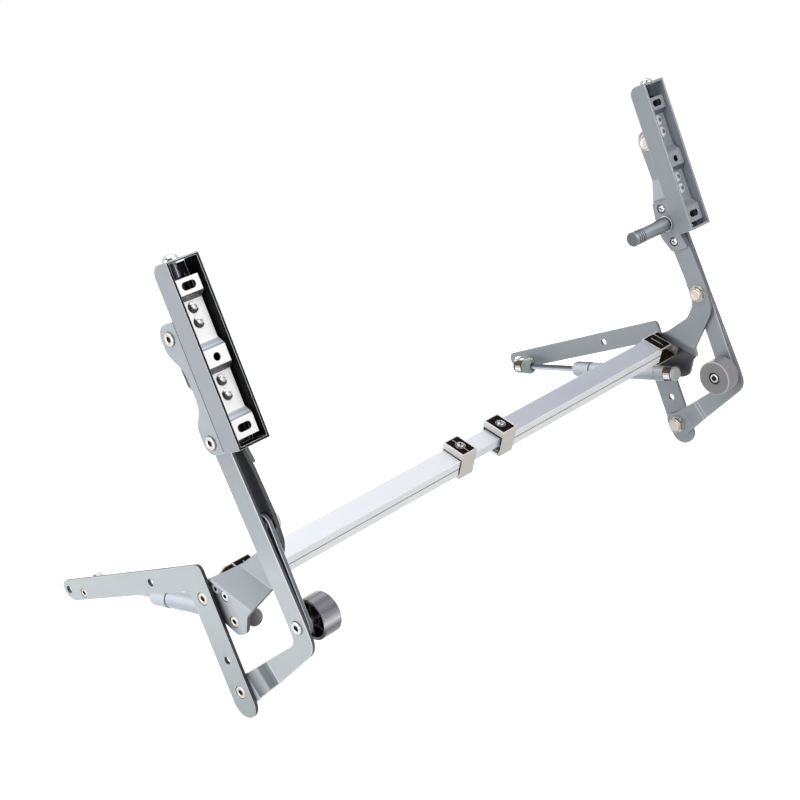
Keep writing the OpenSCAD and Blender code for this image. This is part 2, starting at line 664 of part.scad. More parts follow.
module right_wall_bracket() { color(green_grey) on_right() wall_bracket(); }
module right_lift_pivot() { color(nickel) on_right() lift_pivot(); }
module right_leg_pivot() { color(nickel) on_right() leg_pivot(); }
module right_lift_arm() { color(arm_grey) on_right() lift_arm(); }
module right_guide_leg() { color(green_grey) on_right() guide_leg(); }
module right_link_bar() { color(arm_grey) on_right() link_bar(); }
module right_link_pivot() { color(nickel) on_right() link_pivot(); }
module right_coupler_plate() { color(arm_grey) on_right() coupler_plate(); }
module right_arm_head_pivot() { color(nickel) on_right() arm_head_pivot(); }
module right_leg_head_pivot() { color(nickel) on_right() leg_head_pivot(); }
module right_channel() { color(arm_grey) on_right() channel(); }
module right_channel_screw() { color(bright) on_right() channel_screw(); }
module right_mounting_strip() { color(bright) on_right() mounting_strip(); }
module right_adjuster_rail() { color(dark_steel) on_right() adjuster_rail(); }
module right_peg() { color(arm_grey) on_right() peg(); }
module right_peg_plate() { color(arm_grey) on_right() peg_plate(true); }
module right_roller() { color(plastic_grey) on_right() roller(); }
module right_roller_axle() { color(nickel) on_right() roller_axle(); }
module right_rod_stud() { color(nickel) on_right() rod_stud(); }
module right_rod_socket() { color(socket_grey) on_right() rod_socket(); }
module right_strut_rod() { color(bright) on_right() strut_rod(); }
module right_strut_cylinder() { color(white_grey) on_right() strut_cylinder(); }
module right_seal_cap() { color(white_grey) on_right() seal_cap(); }
module right_tail_socket() { color(dark_plastic) on_right() tail_socket(); }
module right_tail_stud() { color(nickel) on_right() tail_stud(); }
module right_tube_bracket() { color(nickel) on_right() tube_bracket(); }
module right_outer_tube() { color(alu) on_right() outer_tube(right_end); }
module right_clamp() { color(nickel) on_right() clamp(right_end); }
module right_clamp_screw() { color(bright) on_right() clamp_screw(right_end); }

left_wall_bracket();
left_lift_pivot();
left_leg_pivot();
left_lift_arm();
left_guide_leg();
left_link_bar();
left_link_pivot();
left_coupler_plate();
left_arm_head_pivot();
left_leg_head_pivot();
left_channel();
left_channel_screw();
left_mounting_strip();
left_adjuster_rail();
left_peg_plate();
left_roller();
left_roller_axle();
left_rod_stud();
left_rod_socket();
left_strut_rod();
left_strut_cylinder();
left_seal_cap();
left_tail_socket();
left_tail_stud();
left_tube_bracket();
left_outer_tube();
left_clamp();
left_clamp_screw();
right_wall_bracket();
right_lift_pivot();
right_leg_pivot();
right_lift_arm();
right_guide_leg();
right_link_bar();
right_link_pivot();
right_coupler_plate();
right_arm_head_pivot();
right_leg_head_pivot();
right_channel();
right_channel_screw();
right_mounting_strip();
right_adjuster_rail();
right_peg();
right_peg_plate();
right_roller();
right_roller_axle();
right_rod_stud();
right_rod_socket();
right_strut_rod();
right_strut_cylinder();
right_seal_cap();
right_tail_socket();
right_tail_stud();
right_tube_bracket();
right_outer_tube();
right_clamp();
right_clamp_screw();
inner_tube();
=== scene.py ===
import json
import math

import bmesh
import bpy
from mathutils import Matrix, Vector


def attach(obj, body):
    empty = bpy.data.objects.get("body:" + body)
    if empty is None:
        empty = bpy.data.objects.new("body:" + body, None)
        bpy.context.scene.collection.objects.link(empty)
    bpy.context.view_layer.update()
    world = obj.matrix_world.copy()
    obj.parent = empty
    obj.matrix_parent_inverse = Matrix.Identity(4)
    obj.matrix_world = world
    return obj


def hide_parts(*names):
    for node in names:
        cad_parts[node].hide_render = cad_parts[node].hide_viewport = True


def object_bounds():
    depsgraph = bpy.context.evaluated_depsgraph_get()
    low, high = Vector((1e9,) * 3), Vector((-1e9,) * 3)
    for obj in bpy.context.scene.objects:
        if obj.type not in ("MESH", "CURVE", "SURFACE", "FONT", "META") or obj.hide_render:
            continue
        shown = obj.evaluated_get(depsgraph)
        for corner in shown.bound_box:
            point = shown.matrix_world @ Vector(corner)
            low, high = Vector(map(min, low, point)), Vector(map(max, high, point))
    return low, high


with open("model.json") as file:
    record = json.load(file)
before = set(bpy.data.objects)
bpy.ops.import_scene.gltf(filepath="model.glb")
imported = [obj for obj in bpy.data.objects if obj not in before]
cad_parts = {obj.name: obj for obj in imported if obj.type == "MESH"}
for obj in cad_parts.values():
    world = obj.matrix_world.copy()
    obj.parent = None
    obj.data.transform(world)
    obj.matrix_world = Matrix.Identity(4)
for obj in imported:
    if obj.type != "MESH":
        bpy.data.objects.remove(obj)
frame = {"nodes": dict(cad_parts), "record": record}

cad_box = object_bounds()

# Sizes in millimetres, the same values as the CAD source. Side views count from the lift pivot,
# which lies PIVOT_Z above the origin. Depths count from the wall face of a unit.
WIDTH = 564.0
PIVOT_Z = 49.0
SHEET = 3.0
# Depths: pressed part of arm and leg, coupler plate, leg, link bar, and both faces of the arm
PRESSED, COUPLER, LEG, LINK = 3.4, 5.1, 10.0, 14.0
LINK_T = 3.2
ARM, ARM_IN = 18.2, 21.2
# Side view places of the joints and fasteners
LIFT_P, LEG_P = (0.0, 0.0), (0.0, -75.0)
ARM_HEAD_P, LEG_HEAD_P = (76.5, 184.6), (76.5, 109.6)
LINK_P, ROLLER_P = (83.5, 44.0), (83.5, -31.0)
ROD_P = (-158.0, 14.0)
TAIL_P, STUD_P = (22.394, -23.272), (22.5, -20.8)
PEG_P = (77.0, 112.0)
TUBE_SCREWS = ((15.5, 5.5), (23.3, -0.8))
PEG_PLATE_SCREWS = ((76.6, 125.6), (78.4, 94.6))
# Channel: its lowest corner, its width, depth and height, and a little less than its wall
CHANNEL_X, CHANNEL_Y, CHANNEL_Z = 89.5, 3.1, 100.5
CHANNEL_W, CHANNEL_D, CHANNEL_H = 27.6, 17.5, 132.5
CHANNEL_WALL = 1.9
# Mounting strip: depth of its middle, and heights of its rivets
STRIP_Y = 16.6
STRIP_RIVETS = (199.4, 189, 148, 137.6)
# Guide leg: its lean, and where painted highlight lines run along its creases, counted across the bends
LEG_BEND = math.radians(17)
LEG_FOLD_HIGHLIGHTS, FOLD_LINE = {"left": (36.6,), "right": (35.6, 39.6)}, 0.7
# Cross tube: middle, roll and section, the clamps round it, and where the right tube has a painted
# highlight line
TUBE_P, TUBE_ROLL = (22.2, 4.1), math.radians(51)
TUBE_W, TUBE_H, CLAMP_ROOF = 19.0, 15.5, 6.0
CLAMP_END = {"left": 266.0, "right": 261.5}
TUBE_LINES = (2.6, 3.1)
# Gas strut: depth, radii, and distances along it from the ball of its rod
STRUT_Y = 18.5
STRUT_LEN = math.hypot(TAIL_P[0] - ROD_P[0], TAIL_P[1] - ROD_P[1])
ROD_R, CYL_R, CAP_R, BARREL_R, BALL_R = 2.8, 7.0, 7.4, 7.3, 4.8
SOCKET_REACH, CAP_AT, CAP_LEN, TAIL_AT = 15.0, 69.5, 21.5, STRUT_LEN - 16
# Fasteners, roller and peg
SHANK_R, HEAD_R, NUT_CORNERS = 3.5, 5, 14.8
ROLLER_R, ROLLER_W, SPOKES = 15.8, 16, 6
PEG_R, PEG_LEN = 6.5, 51
# Corners in one turn of a fine round
FINE, WHEEL = 64, 72
# Edges of more than so many degrees stay sharp
SMOOTH = 34
# How far a sheet's edges and faces look along Y
EDGE_ON, FACE_ON = 0.25, 0.985


def row(side, x, inset, z):
    """A point in the row frame, in metres, from a side view point and a depth from the wall face."""
    y = inset if side == "left" else WIDTH - inset
    return Vector((x / 1000, y / 1000, (z + PIVOT_Z) / 1000))


# Materials

def shader(nt, kind, inputs=(), **settings):
    """A new shader node. inputs pairs a socket's name with a value or with another node's output."""
    node = nt.nodes.new("ShaderNode" + kind)
    for name, value in settings.items():
        setattr(node, name, value)
    for name, value in dict(inputs).items():
        if isinstance(value, bpy.types.NodeSocket):
            nt.links.new(value, node.inputs[name])
        else:
            node.inputs[name].default_value = value
    return node


def colour_ramp(nt, value, stops):
    """Colour output for a value, from stops of place and linear colour."""
    ramp = shader(nt, "ValToRGB", {"Fac": value})
    while len(ramp.color_ramp.elements) < len(stops):
        ramp.color_ramp.elements.new(0.5)
    for element, (place, colour) in zip(ramp.color_ramp.elements, stops):
        element.position, element.color = place, (*colour, 1)
    return ramp.outputs["Color"]


def material(name, colour, rough, metal=0.0, coat=0.0, grain=900, grain_scale=(1, 1, 1),
             bump=0.08, tint=0.06, spec=0.5, bands=None):
    """
    Procedural finish: base colour with soft variation, uneven roughness and a fine bump.
    Bands of painted light and shade may take the colour's place. They are a direction, two
    distances along it in millimetres, and stops of place and colour.
    """
    m = bpy.data.materials.new(name)
    m.use_nodes = True
    nt = m.node_tree
    nt.nodes.clear()
    where = shader(nt, "TexCoord").outputs["Object"]
    stretched = shader(nt, "Mapping", {"Vector": where, "Scale": grain_scale}).outputs["Vector"]
    fine = shader(nt, "TexNoise", {"Vector": stretched, "Scale": grain, "Detail": 4}).outputs["Fac"]
    if bands:
        way, first, last, stops = bands
        along = shader(nt, "VectorMath", {0: where, 1: way}, operation="DOT_PRODUCT")
        place = shader(nt, "MapRange", {"Value": along.outputs["Value"], "From Min": first / 1000,
                                        "From Max": last / 1000})
        shade = colour_ramp(nt, place.outputs[0], [(at, grey(*tone)) for at, tone in stops])
    else:
        broad = shader(nt, "TexNoise", {"Vector": where, "Scale": 14, "Detail": 3}).outputs["Fac"]
        shade = colour_ramp(nt, broad, ((0.3, [c * (1 - tint) for c in colour]),
                                        (0.7, [min(1, c * (1 + tint)) for c in colour])))
    uneven = shader(nt, "MapRange", {"Value": fine, "To Min": max(0.02, rough - 0.05),
                                     "To Max": min(1, rough + 0.07)})
    rise = shader(nt, "Bump", {"Height": fine, "Strength": bump, "Distance": 0.00006})
    bsdf = shader(nt, "BsdfPrincipled", {
        "Base Color": shade, "Roughness": uneven.outputs[0], "Normal": rise.outputs[0],
        "Metallic": metal, "Specular IOR Level": spec, "Coat Weight": coat, "Coat Roughness": 0.2})
    shader(nt, "OutputMaterial", {"Surface": bsdf.outputs[0]})
    return m


def grey(r, g, b):
    """Linear colour from sRGB steps of 0 to 255."""
    return tuple(((c / 255 + 0.055) / 1.055) ** 2.4 for c in (r, g, b))


STRUT_TILT = math.atan2(TAIL_P[1] - ROD_P[1], TAIL_P[0] - ROD_P[0])
ACROSS_STRUT = (-math.sin(STRUT_TILT), 0, math.cos(STRUT_TILT))
STRUT_AXIS = ROD_P[0] * ACROSS_STRUT[0] + (ROD_P[1] + PIVOT_Z) * ACROSS_STRUT[2]


def strut_light_bands(name, r, stops, **more):
    """Finish of painted highlight and shade in bands along the strut, from its lowest line to its highest.
    """
    bands = (ACROSS_STRUT, STRUT_AXIS - r, STRUT_AXIS + r, stops)
    return material(name, None, bands=bands, **more)


# Finishes kept by side are one paint or metal in two tones of painted light: most right unit copies are
# darker, a painted shade for the light that falls off towards that unit, and some left copies carry painted
# gradients of shade.
# The left plate paint carries painted shade, darker towards the bottom.
PAINT = {
    "left": material("plate_paint", None, 0.4, coat=0.25, bump=0.1, bands=(
        (0, 0, 1), -46, 40, ((0.0, (148, 158, 162)), (0.35, (162, 171, 175)), (1.0, (177, 186, 189))))),
    "right": material("plate_paint_right_shaded", grey(152, 160, 166), 0.4, coat=0.25, tint=0.03, bump=0.1)}
ARM_PAINT = {
    "left": material("arm_paint", grey(164, 172, 179), 0.38, coat=0.35, tint=0.04, bump=0.12),
    "right": material("arm_paint_right_shaded", grey(150, 158, 165), 0.38, coat=0.35, tint=0.04, bump=0.12)}
CHANNEL_PAINT = {
    "left": material("channel_paint", grey(150, 157, 163), 0.36, coat=0.3, tint=0.04, bump=0.1),
    "right": material("channel_paint_right_shaded", grey(141, 150, 156), 0.36, coat=0.3, tint=0.04, bump=0.1)}
# Painted shade: the darker grey on the left unit's sheet edges and the peg's grooves, and the lighter grey
# on the right unit's sheet edges, the peg plate's edges, the peg's end, the rod end's dome, the right top
# screw's shank and the right strip's rivets and lower bends.
EDGE_SHADE = material("edge_shade", grey(42, 46, 52), 0.36, coat=0.3, bump=0.1)
SHADED_GREY = material("shaded_grey", grey(92, 98, 107), 0.36, coat=0.3, bump=0.1)
LEG_AXIS = (LEG_P[1] + PIVOT_Z) * math.sin(LEG_BEND)
# On the left unit the guide leg carries painted shade, darker towards the top; the right leg takes the
# right unit's shaded plate copy.
LEG_PAINT = {
    "left": material("leg_paint_shade_gradient", None, 0.38, coat=0.3, bump=0.1, bands=(
        (0, 0, 1), -26, 160, ((0.0, (178, 187, 190)), (0.45, (182, 191, 194)), (0.58, (162, 171, 176)),
                              (1.0, (152, 160, 166))))),
    "right": PAINT["right"]}
# Painted shade and painted highlight in streaks across the sloping part of the left guide leg.
RAMP_SHADE_STREAKS = material("ramp_shade_streaks", None, 0.32, coat=0.2, bump=0.06, bands=(
    (math.cos(LEG_BEND), 0, math.sin(LEG_BEND)), LEG_AXIS + 14, LEG_AXIS + 36.6, (
        (0.0, (26, 32, 38)), (0.16, (80, 90, 97)), (0.34, (128, 138, 143)), (0.5, (158, 168, 172)),
        (0.58, (70, 80, 87)), (0.8, (58, 68, 75)), (0.95, (100, 110, 116)))))
# Painted highlight: light paint on the rounded edges of the sheets, on the guide leg's crease lines and on
# one bright screw.
PAINTED_HIGHLIGHT = material("painted_highlight", grey(222, 228, 233), 0.3, coat=0.3, tint=0.03, bump=0.1)
# Painted highlight on the upper bend of the right lift arm.
BEND_LIGHT = material("bend_highlight", grey(178, 186, 194), 0.24, coat=0.6, tint=0.08, bump=0.06)
SHADE_PAINT = material("shade_paint", grey(52, 52, 58), 0.3, coat=0.4, tint=0.12, bump=0.1)
# Painted shade, blue-grey, on the thickness edges of the left link bar.
LINK_EDGE_SHADE = material("link_edge_shade", grey(88, 98, 110), 0.28, coat=0.5, tint=0.08, bump=0.1)
# Painted shadow of the wall bracket on the left lift arm's foot, darkest beside the bracket's edge.
FOOT_SHADOW = material("foot_shadow", None, 0.34, coat=0.4, bump=0.1, bands=(
    (1, 0, 0), 11, 31, ((0.0, (20, 22, 28)), (0.2, (50, 54, 62)), (0.42, (110, 118, 126)),
                        (0.62, (152, 159, 165)), (1.0, (180, 184, 190)))))
# Painted dark reflection on the inner face of the right lift arm's foot.
DARK_REFLECTION = material("dark_reflection", grey(72, 73, 79), 0.3, coat=0.2, tint=0.2)
# Painted shade, near black, inside the left channel, on its front edges and in the strips' slots and holes.
# The right channel's inside takes a blue-grey copy of the paint, lighter than the left's painted shade.
INSIDE_SHADE = material("inside_shade", grey(22, 21, 24), 0.6, tint=0.2, bump=0.15, spec=0.12)
BLUE_INSIDE = material("blue_inside", grey(152, 159, 168), 0.4, coat=0.3, tint=0.08, bump=0.15)
# Painted shadow, near black, in gaps between parts: round the clamps and beside the channel's rear edge.
GAP_SHADOW = material("gap_shadow_line", grey(14, 14, 17), 0.6, tint=0.1, spec=0.1)
NICKEL = material("nickel", grey(200, 193, 184), 0.3, metal=1.0, grain=500, grain_scale=(1, 6, 1),
                  tint=0.05, bump=0.15)
# Painted shade in hex sockets, recesses and grooves, and in thin rings where heads meet the sheet.
RECESS_SHADE = material("recess_shade", grey(26, 23, 22), 0.4, tint=0.2, bump=0.2, spec=0.2)
CLAMP = material("clamp_nickel", grey(212, 207, 200), 0.34, metal=0.35, grain=700,
                 grain_scale=(1, 1, 8), tint=0.05, bump=0.2)
# Dark brown metal: on the tube bracket's faces that look at the tube it is a painted shade between bracket
# and tube, and on the roller axle bolt it is the ring round its socket.
DARK_BROWN_METAL = material("dark_brown_metal", grey(88, 66, 38), 0.3, metal=0.8, tint=0.5, bump=0.2)
BLACK_PANEL = material("black_panel", grey(16, 9, 8), 0.8, tint=0.2, bump=0.2, spec=0.08)
CHROME = material("chrome", grey(232, 232, 231), 0.12, metal=1.0, tint=0.03, bump=0.05)
# Painted shade, brown, over part of the round of each spring clip.
SHADED_CLIP = material("clip_shade", grey(112, 88, 62), 0.18, metal=0.8, tint=0.3, bump=0.1)
STRIP = material("strip_plate", grey(254, 254, 253), 0.3, metal=0.05, coat=0.4, tint=0.004, bump=0.03)
STRIP_SHADE = material("strip_shade", grey(118, 119, 122), 0.25, metal=0.6, tint=0.12, bump=0.05)
# Painted reflections, light and blue-grey streaks, on the upper bends of the left strip.
FOLD_REFLECTION_TONES = (
    (0.0, (236, 240, 244)), (0.2, (150, 160, 174)), (0.38, (222, 230, 240)), (0.6, (184, 196, 212)),
    (0.78, (228, 233, 240)), (0.92, (120, 126, 134)), (1.0, (250, 250, 250)))
STRIP_FOLD_REFLECTIONS = [
    material("strip_fold_%d" % k, None, 0.2, metal=0.3, coat=0.3, bump=0.04,
             bands=((0, 0, 1), low + PIVOT_Z, high + PIVOT_Z, FOLD_REFLECTION_TONES))
    for k, (low, high) in enumerate(((119.4, 127), (169, 176.6)))]
STEEL = material("bright_steel", grey(205, 206, 206), 0.22, metal=1.0, tint=0.05, bump=0.12)
# Painted highlights and shade in streaks along the shank of the left top screw.
SHANK = material("shank_highlights", None, 0.3, bump=0.05, bands=(
    (0, 1, 0), STRIP_Y - 4.5, STRIP_Y + 0.5, (
        (0.0, (96, 98, 104)), (0.3, (110, 112, 120)), (0.38, (250, 250, 252)), (0.5, (166, 169, 186)),
        (0.62, (104, 107, 126)), (0.8, (50, 52, 62)), (0.88, (250, 250, 252)), (0.94, (60, 60, 64)))))
RIVET = material("rivet_head", grey(168, 168, 170), 0.16, metal=0.9, tint=0.1, bump=0.1)
# Painted shade on the lower side of each rivet of the left strip.
SHADED_RIVET = material("rivet_shade", grey(64, 64, 66), 0.3, metal=0.5, tint=0.2, bump=0.1)
# The right tube's anodising is a darker copy, a painted shade for the light that falls off towards the
# right unit.
ALU = {
    "left": material("anodised", grey(228, 231, 238), 0.34, metal=0.35, grain=420,
                     grain_scale=(30, 1, 30), tint=0.02, bump=0.12),
    "right": material("anodised_right_shaded", grey(184, 189, 201), 0.34, metal=0.35, grain=420,
                      grain_scale=(30, 1, 30), tint=0.03, bump=0.12)}
# Painted shade in the grooves along the cross tube.
GROOVE_SHADE = material("tube_groove_shade", grey(50, 52, 58), 0.6, tint=0.1, bump=0.1)
# Painted highlight, near white: the tube's rounded edges, the line on the right tube, the rings round the
# right strip's rivets and the peg's collar.
WHITE_HIGHLIGHT = material("white_highlight", grey(252, 253, 255), 0.5, tint=0.005, bump=0.02, spec=0.2)
# Painted light: the tube's front faces take a near white copy of the anodising.
TUBE_FRONT_LIGHT = material("anodised_front_light", grey(250, 251, 254), 0.4, coat=0.2, grain=420,
                      grain_scale=(30, 1, 30), tint=0.01, bump=0.1)
# Painted light on the strut: the cylinder and seal cap have painted highlights towards their upper side and
# painted shade below, and the rod has streaks of painted reflection.
CYLINDER = strut_light_bands("cylinder_highlight_bands", CYL_R, (
    (0.0, (120, 128, 138)), (0.12, (156, 164, 174)), (0.45, (160, 168, 179)), (0.72, (196, 204, 214)),
    (0.86, (216, 223, 231)), (1.0, (170, 178, 188))), rough=0.22, coat=0.6, bump=0.04)
CAP = strut_light_bands("seal_cap", CAP_R, (
    (0.0, (132, 139, 148)), (0.15, (176, 184, 192)), (0.5, (186, 194, 202)), (0.78, (214, 221, 228)),
    (0.92, (186, 194, 201)), (1.0, (120, 127, 136))), rough=0.3, coat=0.4, bump=0.06)
ROD = strut_light_bands("polished_rod", ROD_R, (
    (0.0, (60, 62, 70)), (0.14, (150, 153, 162)), (0.3, (232, 234, 240)), (0.55, (176, 180, 190)),
    (0.74, (112, 116, 126)), (0.88, (60, 63, 70)), (1.0, (98, 101, 108))), rough=0.16, metal=0.5, bump=0.04)
SOCKET = material("rod_end", grey(132, 148, 143), 0.34, metal=0.1, coat=0.25, bump=0.2)
# Painted light on the tail barrel: on the left unit a painted shade, darker towards the wall, and on the
# right a lighter copy.
TAIL = {
    "left": material("tail_barrel", None, 0.3, coat=0.3, bump=0.12, bands=(
        (0, 1, 0), STRUT_Y - CYL_R, STRUT_Y + CYL_R, (
            (0.0, (44, 44, 46)), (0.35, (74, 75, 77)), (0.7, (118, 120, 121)), (1.0, (160, 162, 163))))),
    "right": material("tail_barrel_right_lit", grey(190, 193, 196), 0.3, coat=0.5, bump=0.12)}
SEAM = material("seam_line", grey(104, 111, 120), 0.4, tint=0.1, bump=0.1)
TYRE = material("roller_plastic", grey(142, 140, 145), 0.42, coat=0.1, tint=0.03, bump=0.12)
TYRE_FACE = material("roller_face", grey(134, 132, 136), 0.42, coat=0.1, tint=0.03, bump=0.12)
# Painted highlight on the roller's rounded rim.
TYRE_RIM_HIGHLIGHT = material("roller_rim_highlight", grey(188, 187, 192), 0.4, tint=0.02)
# Painted highlights in bands round the tread of the left roller; the right roller's tread is plain.
TYRE_HIGHLIGHTS = material("roller_highlights", None, 0.2, coat=0.5, bump=0.05, bands=(
    (-0.5, 0, 0.866), -41.9, -10.3, (
        (0.0, (84, 80, 82)), (0.06, (100, 98, 104)), (0.14, (222, 221, 227)), (0.25, (138, 136, 144)),
        (0.37, (92, 89, 97)), (0.5, (124, 122, 132)), (0.63, (94, 92, 100)), (0.75, (152, 150, 158)),
        (0.84, (88, 86, 92)), (0.95, (190, 188, 194)))))
# Painted shade, dark brown, in the roller's hollow back and on its spokes.
TYRE_INSIDE_SHADE = material("roller_inside_shade", grey(44, 32, 28), 0.45, tint=0.3, bump=0.25)
# Painted highlight along the upper side of the peg and painted shade below.
PEG = material("peg_highlight_and_shade", None, 0.24, coat=0.6, bump=0.06, bands=(
    (0.3, 0, 0.95), 169.5, 182.5, ((0.0, (78, 85, 94)), (0.25, (112, 120, 129)), (0.55, (132, 140, 149)),
                                   (0.78, (188, 196, 203)), (0.9, (160, 168, 176)), (1.0, (84, 91, 99)))))
RAIL = material("rail_dark", grey(36, 36, 38), 0.45, tint=0.15, bump=0.2)


# Mesh helpers

def sharpen(mesh, angle=SMOOTH):
    """Smooth shading with sharp edges where faces turn by more than the angle."""
    mesh.polygons.foreach_set("use_smooth", [True] * len(mesh.polygons))
    mesh.set_sharp_from_angle(angle=math.radians(angle))


def settle(obj):
    """Replaces a piece's mesh by the result of its modifiers."""
    dg = bpy.context.evaluated_depsgraph_get()
    mesh = bpy.data.meshes.new_from_object(obj.evaluated_get(dg), preserve_all_data_layers=True,
                                           depsgraph=dg)
    obj.modifiers.clear()
    obj.data = mesh


def from_bmesh(bm, name, mat, angle=SMOOTH):
    """An object with these faces. mat is its finish, or a list of finishes that the faces count in."""
    bmesh.ops.recalc_face_normals(bm, faces=bm.faces)
    mesh = bpy.data.meshes.new(name)
    bm.to_mesh(mesh)
    bm.free()
    obj = bpy.data.objects.new(name, mesh)
    bpy.context.scene.collection.objects.link(obj)
    for one in mat if isinstance(mat, list) else [mat]:
        mesh.materials.append(one)
    sharpen(mesh, angle)
    mesh.update()
    # Normals weighted by area keep flat faces flat beside their roundings
    even = obj.modifiers.new("even", "WEIGHTED_NORMAL")
    even.keep_sharp = True
    even.weight = 90
    settle(obj)
    return obj


BODY_OF = {n: b for b, ns in frame["record"]["behaviour"]["bodies"].items() for n in ns}


def stand_for(obj, *nodes):
    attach(obj, BODY_OF[nodes[0]])
    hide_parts(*nodes)
    return obj


def seen_from_side(side, v):
    """Millimetres in a unit's side view of a point of the model: forward, depth from the wall, up."""
    y = v.y * 1000
    return Vector((v.x * 1000, y if side == "left" else WIDTH - y, v.z * 1000 - PIVOT_Z))


def rounded_copy(side, kind, finishes, width, pick, angle=SMOOTH, split=(), far_edge="rim"):
    """
    A copy of a CAD node with its sharp edges rounded, which stands for the node. finishes are
    materials by name: rim is for the rounded edges, and far_edge names that of the ones which
    face inwards. pick names any other face's, from its middle and its direction. Faces are
    first divided along the planes in split.
    """
    names = list(finishes)
    node = side + "_" + kind
    bm = bmesh.new()
    bm.from_mesh(frame["nodes"][node].data)
    bmesh.ops.remove_doubles(bm, verts=bm.verts, dist=2e-6)
    bmesh.ops.dissolve_limit(bm, angle_limit=math.radians(0.8), verts=bm.verts, edges=bm.edges)
    bmesh.ops.recalc_face_normals(bm, faces=bm.faces)
    for place, facing in split:
        bmesh.ops.bisect_plane(bm, geom=bm.verts[:] + bm.edges[:] + bm.faces[:],
                               plane_co=row(side, *place), plane_no=facing)
    inward = 1 if side == "left" else -1
    for face in bm.faces:
        n = face.normal
        middle = seen_from_side(side, face.calc_center_median())
        face.material_index = names.index(pick(side, middle, Vector((n.x, inward * n.y, n.z))))
    groove = names.index("groove") if "groove" in names else None
    sharp = [e for e in bm.edges if len(e.link_faces) == 2 and e.calc_face_angle(0) > math.radians(angle)
             and groove not in [f.material_index for f in e.link_faces]]
    made = bmesh.ops.bevel(bm, geom=sharp, offset=width / 1000, segments=2, affect="EDGES",
                           profile=0.5, clamp_overlap=True, material=names.index("rim"))
    for face in made["faces"]:
        if face.normal.y * inward > 0.15:
            face.material_index = names.index(far_edge)
    obj = from_bmesh(bm, node + "_shape", list(finishes.values()), 40)
    return stand_for(obj, node)


# Finishes of the faces of each kind of node. A face of bent sheet looks along Y where its
# direction's y is over FACE_ON or below its negative. It is an edge where y is within EDGE_ON
# of zero, and part of a bend between the two.

def sheet_face(side, p, n):
    return "edge" if abs(n.y) < EDGE_ON else "flat"


def leg_face(side, p, n):
    """The sloping part of the guide leg takes painted shade and highlight streaks on the left unit, and
    painted highlight lines run along its creases.
    """
    if side == "left" and EDGE_ON < abs(n.y) < FACE_ON:
        return "ramp"
    across = p.x * math.cos(LEG_BEND) + (p.z - LEG_P[1]) * math.sin(LEG_BEND)
    seen = n.y > 0.9 if side == "right" else n.y < -0.9
    creased = any(u < across < u + FOLD_LINE for u in LEG_FOLD_HIGHLIGHTS[side])
    return "crease" if seen and creased else sheet_face(side, p, n)


def arm_face(side, p, n):
    """Painted light on the lift arm: on the left unit a painted shadow on the foot, which is pressed
    towards the wall, and painted shade on the upper part; on the right a painted dark reflection inside the
    foot and a painted highlight on the upper bend.
    """
    if side == "left" and n.y < -FACE_ON and p.y < 4:
        return "foot"
    if side == "left" and n.y < -0.5 and p.z > 42:
        return "upper"
    if side == "right" and n.y > 0.9 and p.y < 7:
        return "foot_inside"
    if side == "right" and p.z > 118 and EDGE_ON < n.y < FACE_ON:
        return "bend"
    return sheet_face(side, p, n)


def channel_face(side, p, n):
    # Inside faces take painted shade on the left unit, where the front edges take it too, and a lighter
    # blue-grey on the right.
    front = CHANNEL_X + CHANNEL_D - 0.1
    inside = (CHANNEL_X + CHANNEL_WALL < p.x < front
              and CHANNEL_WALL < p.y - CHANNEL_Y < CHANNEL_W - CHANNEL_WALL
              and CHANNEL_WALL < p.z - CHANNEL_Z < CHANNEL_H - CHANNEL_WALL)
    rim = p.x > front and n.x > 0.9 and side == "left"
    return "inside" if inside or rim else "flat"


def strip_face(side, p, n):
    """Walls of the slots and holes take painted shade, and so do the lower bends. On the left the rivets
    are painted lit on one side and shaded on the other and the upper bends carry painted reflections; on
    the right the rivets are dark with a ring of painted highlight.
    """
    for z in STRIP_RIVETS:
        r = math.hypot(p.y - STRIP_Y, p.z - z)
        if p.x > CHANNEL_X + 9.02 and r < 4.4:
            if side == "right":
                return "ring" if r > 2.4 else "rivet"
            lit = 0.75 * n.y + 0.66 * n.z
            return "flat" if lit > 0.12 else "rivet" if lit > -0.2 else "rivet_shade"
    if n.x > 0.1 and abs(n.y) < 0.1:
        if n.z < -0.3:
            return "shade"
        if side == "left" and n.z > 0.2 and p.x > CHANNEL_X + 9.4:
            return "fold_low" if p.z < 150 else "fold_high"
    return "hole" if abs(n.x) < 0.2 and abs(p.y - STRIP_Y) < 9 and abs(n.x) + abs(n.z) > 0.01 else "flat"


def peg_plate_face(side, p, n):
    for x, z in PEG_PLATE_SCREWS:
        r = math.hypot(p.x - x, p.z - z)
        up = p.y - ARM_IN
        if r < 4.35 and up > 0.9:
            # Round each screw and in its socket, the recess takes painted shade.
            return "recess" if r > 3.72 or up < 1.9 or (r < 2.3 and up < 2.85) else "screw"
    return sheet_face(side, p, n)


def clamp_face(side, p, n):
    """Faces of the parts round the cross tube that look at the tube are its inside, which takes painted
    shade.
    """
    towards = n.x * (p.x - TUBE_P[0]) + n.z * (p.z - TUBE_P[1])
    return "inside" if towards < -0.5 and abs(n.y) < 0.5 else "flat"


def tube_bracket_face(side, p, n):
    """The two screws under the tube bracket: the rear one is painted over, the front one takes painted
    highlight, and their sockets painted shade.
    """
    for (x, z), finish in zip(TUBE_SCREWS, ("painted_screw", "bright_screw")):
        r = math.hypot(p.x - x, p.z - z)
        if r < 4.2 and p.y < PRESSED + 1.6:
            return "recess" if r < 1.75 or abs(n.y) < 0.1 and r < 2.2 else finish
    return clamp_face(side, p, n)


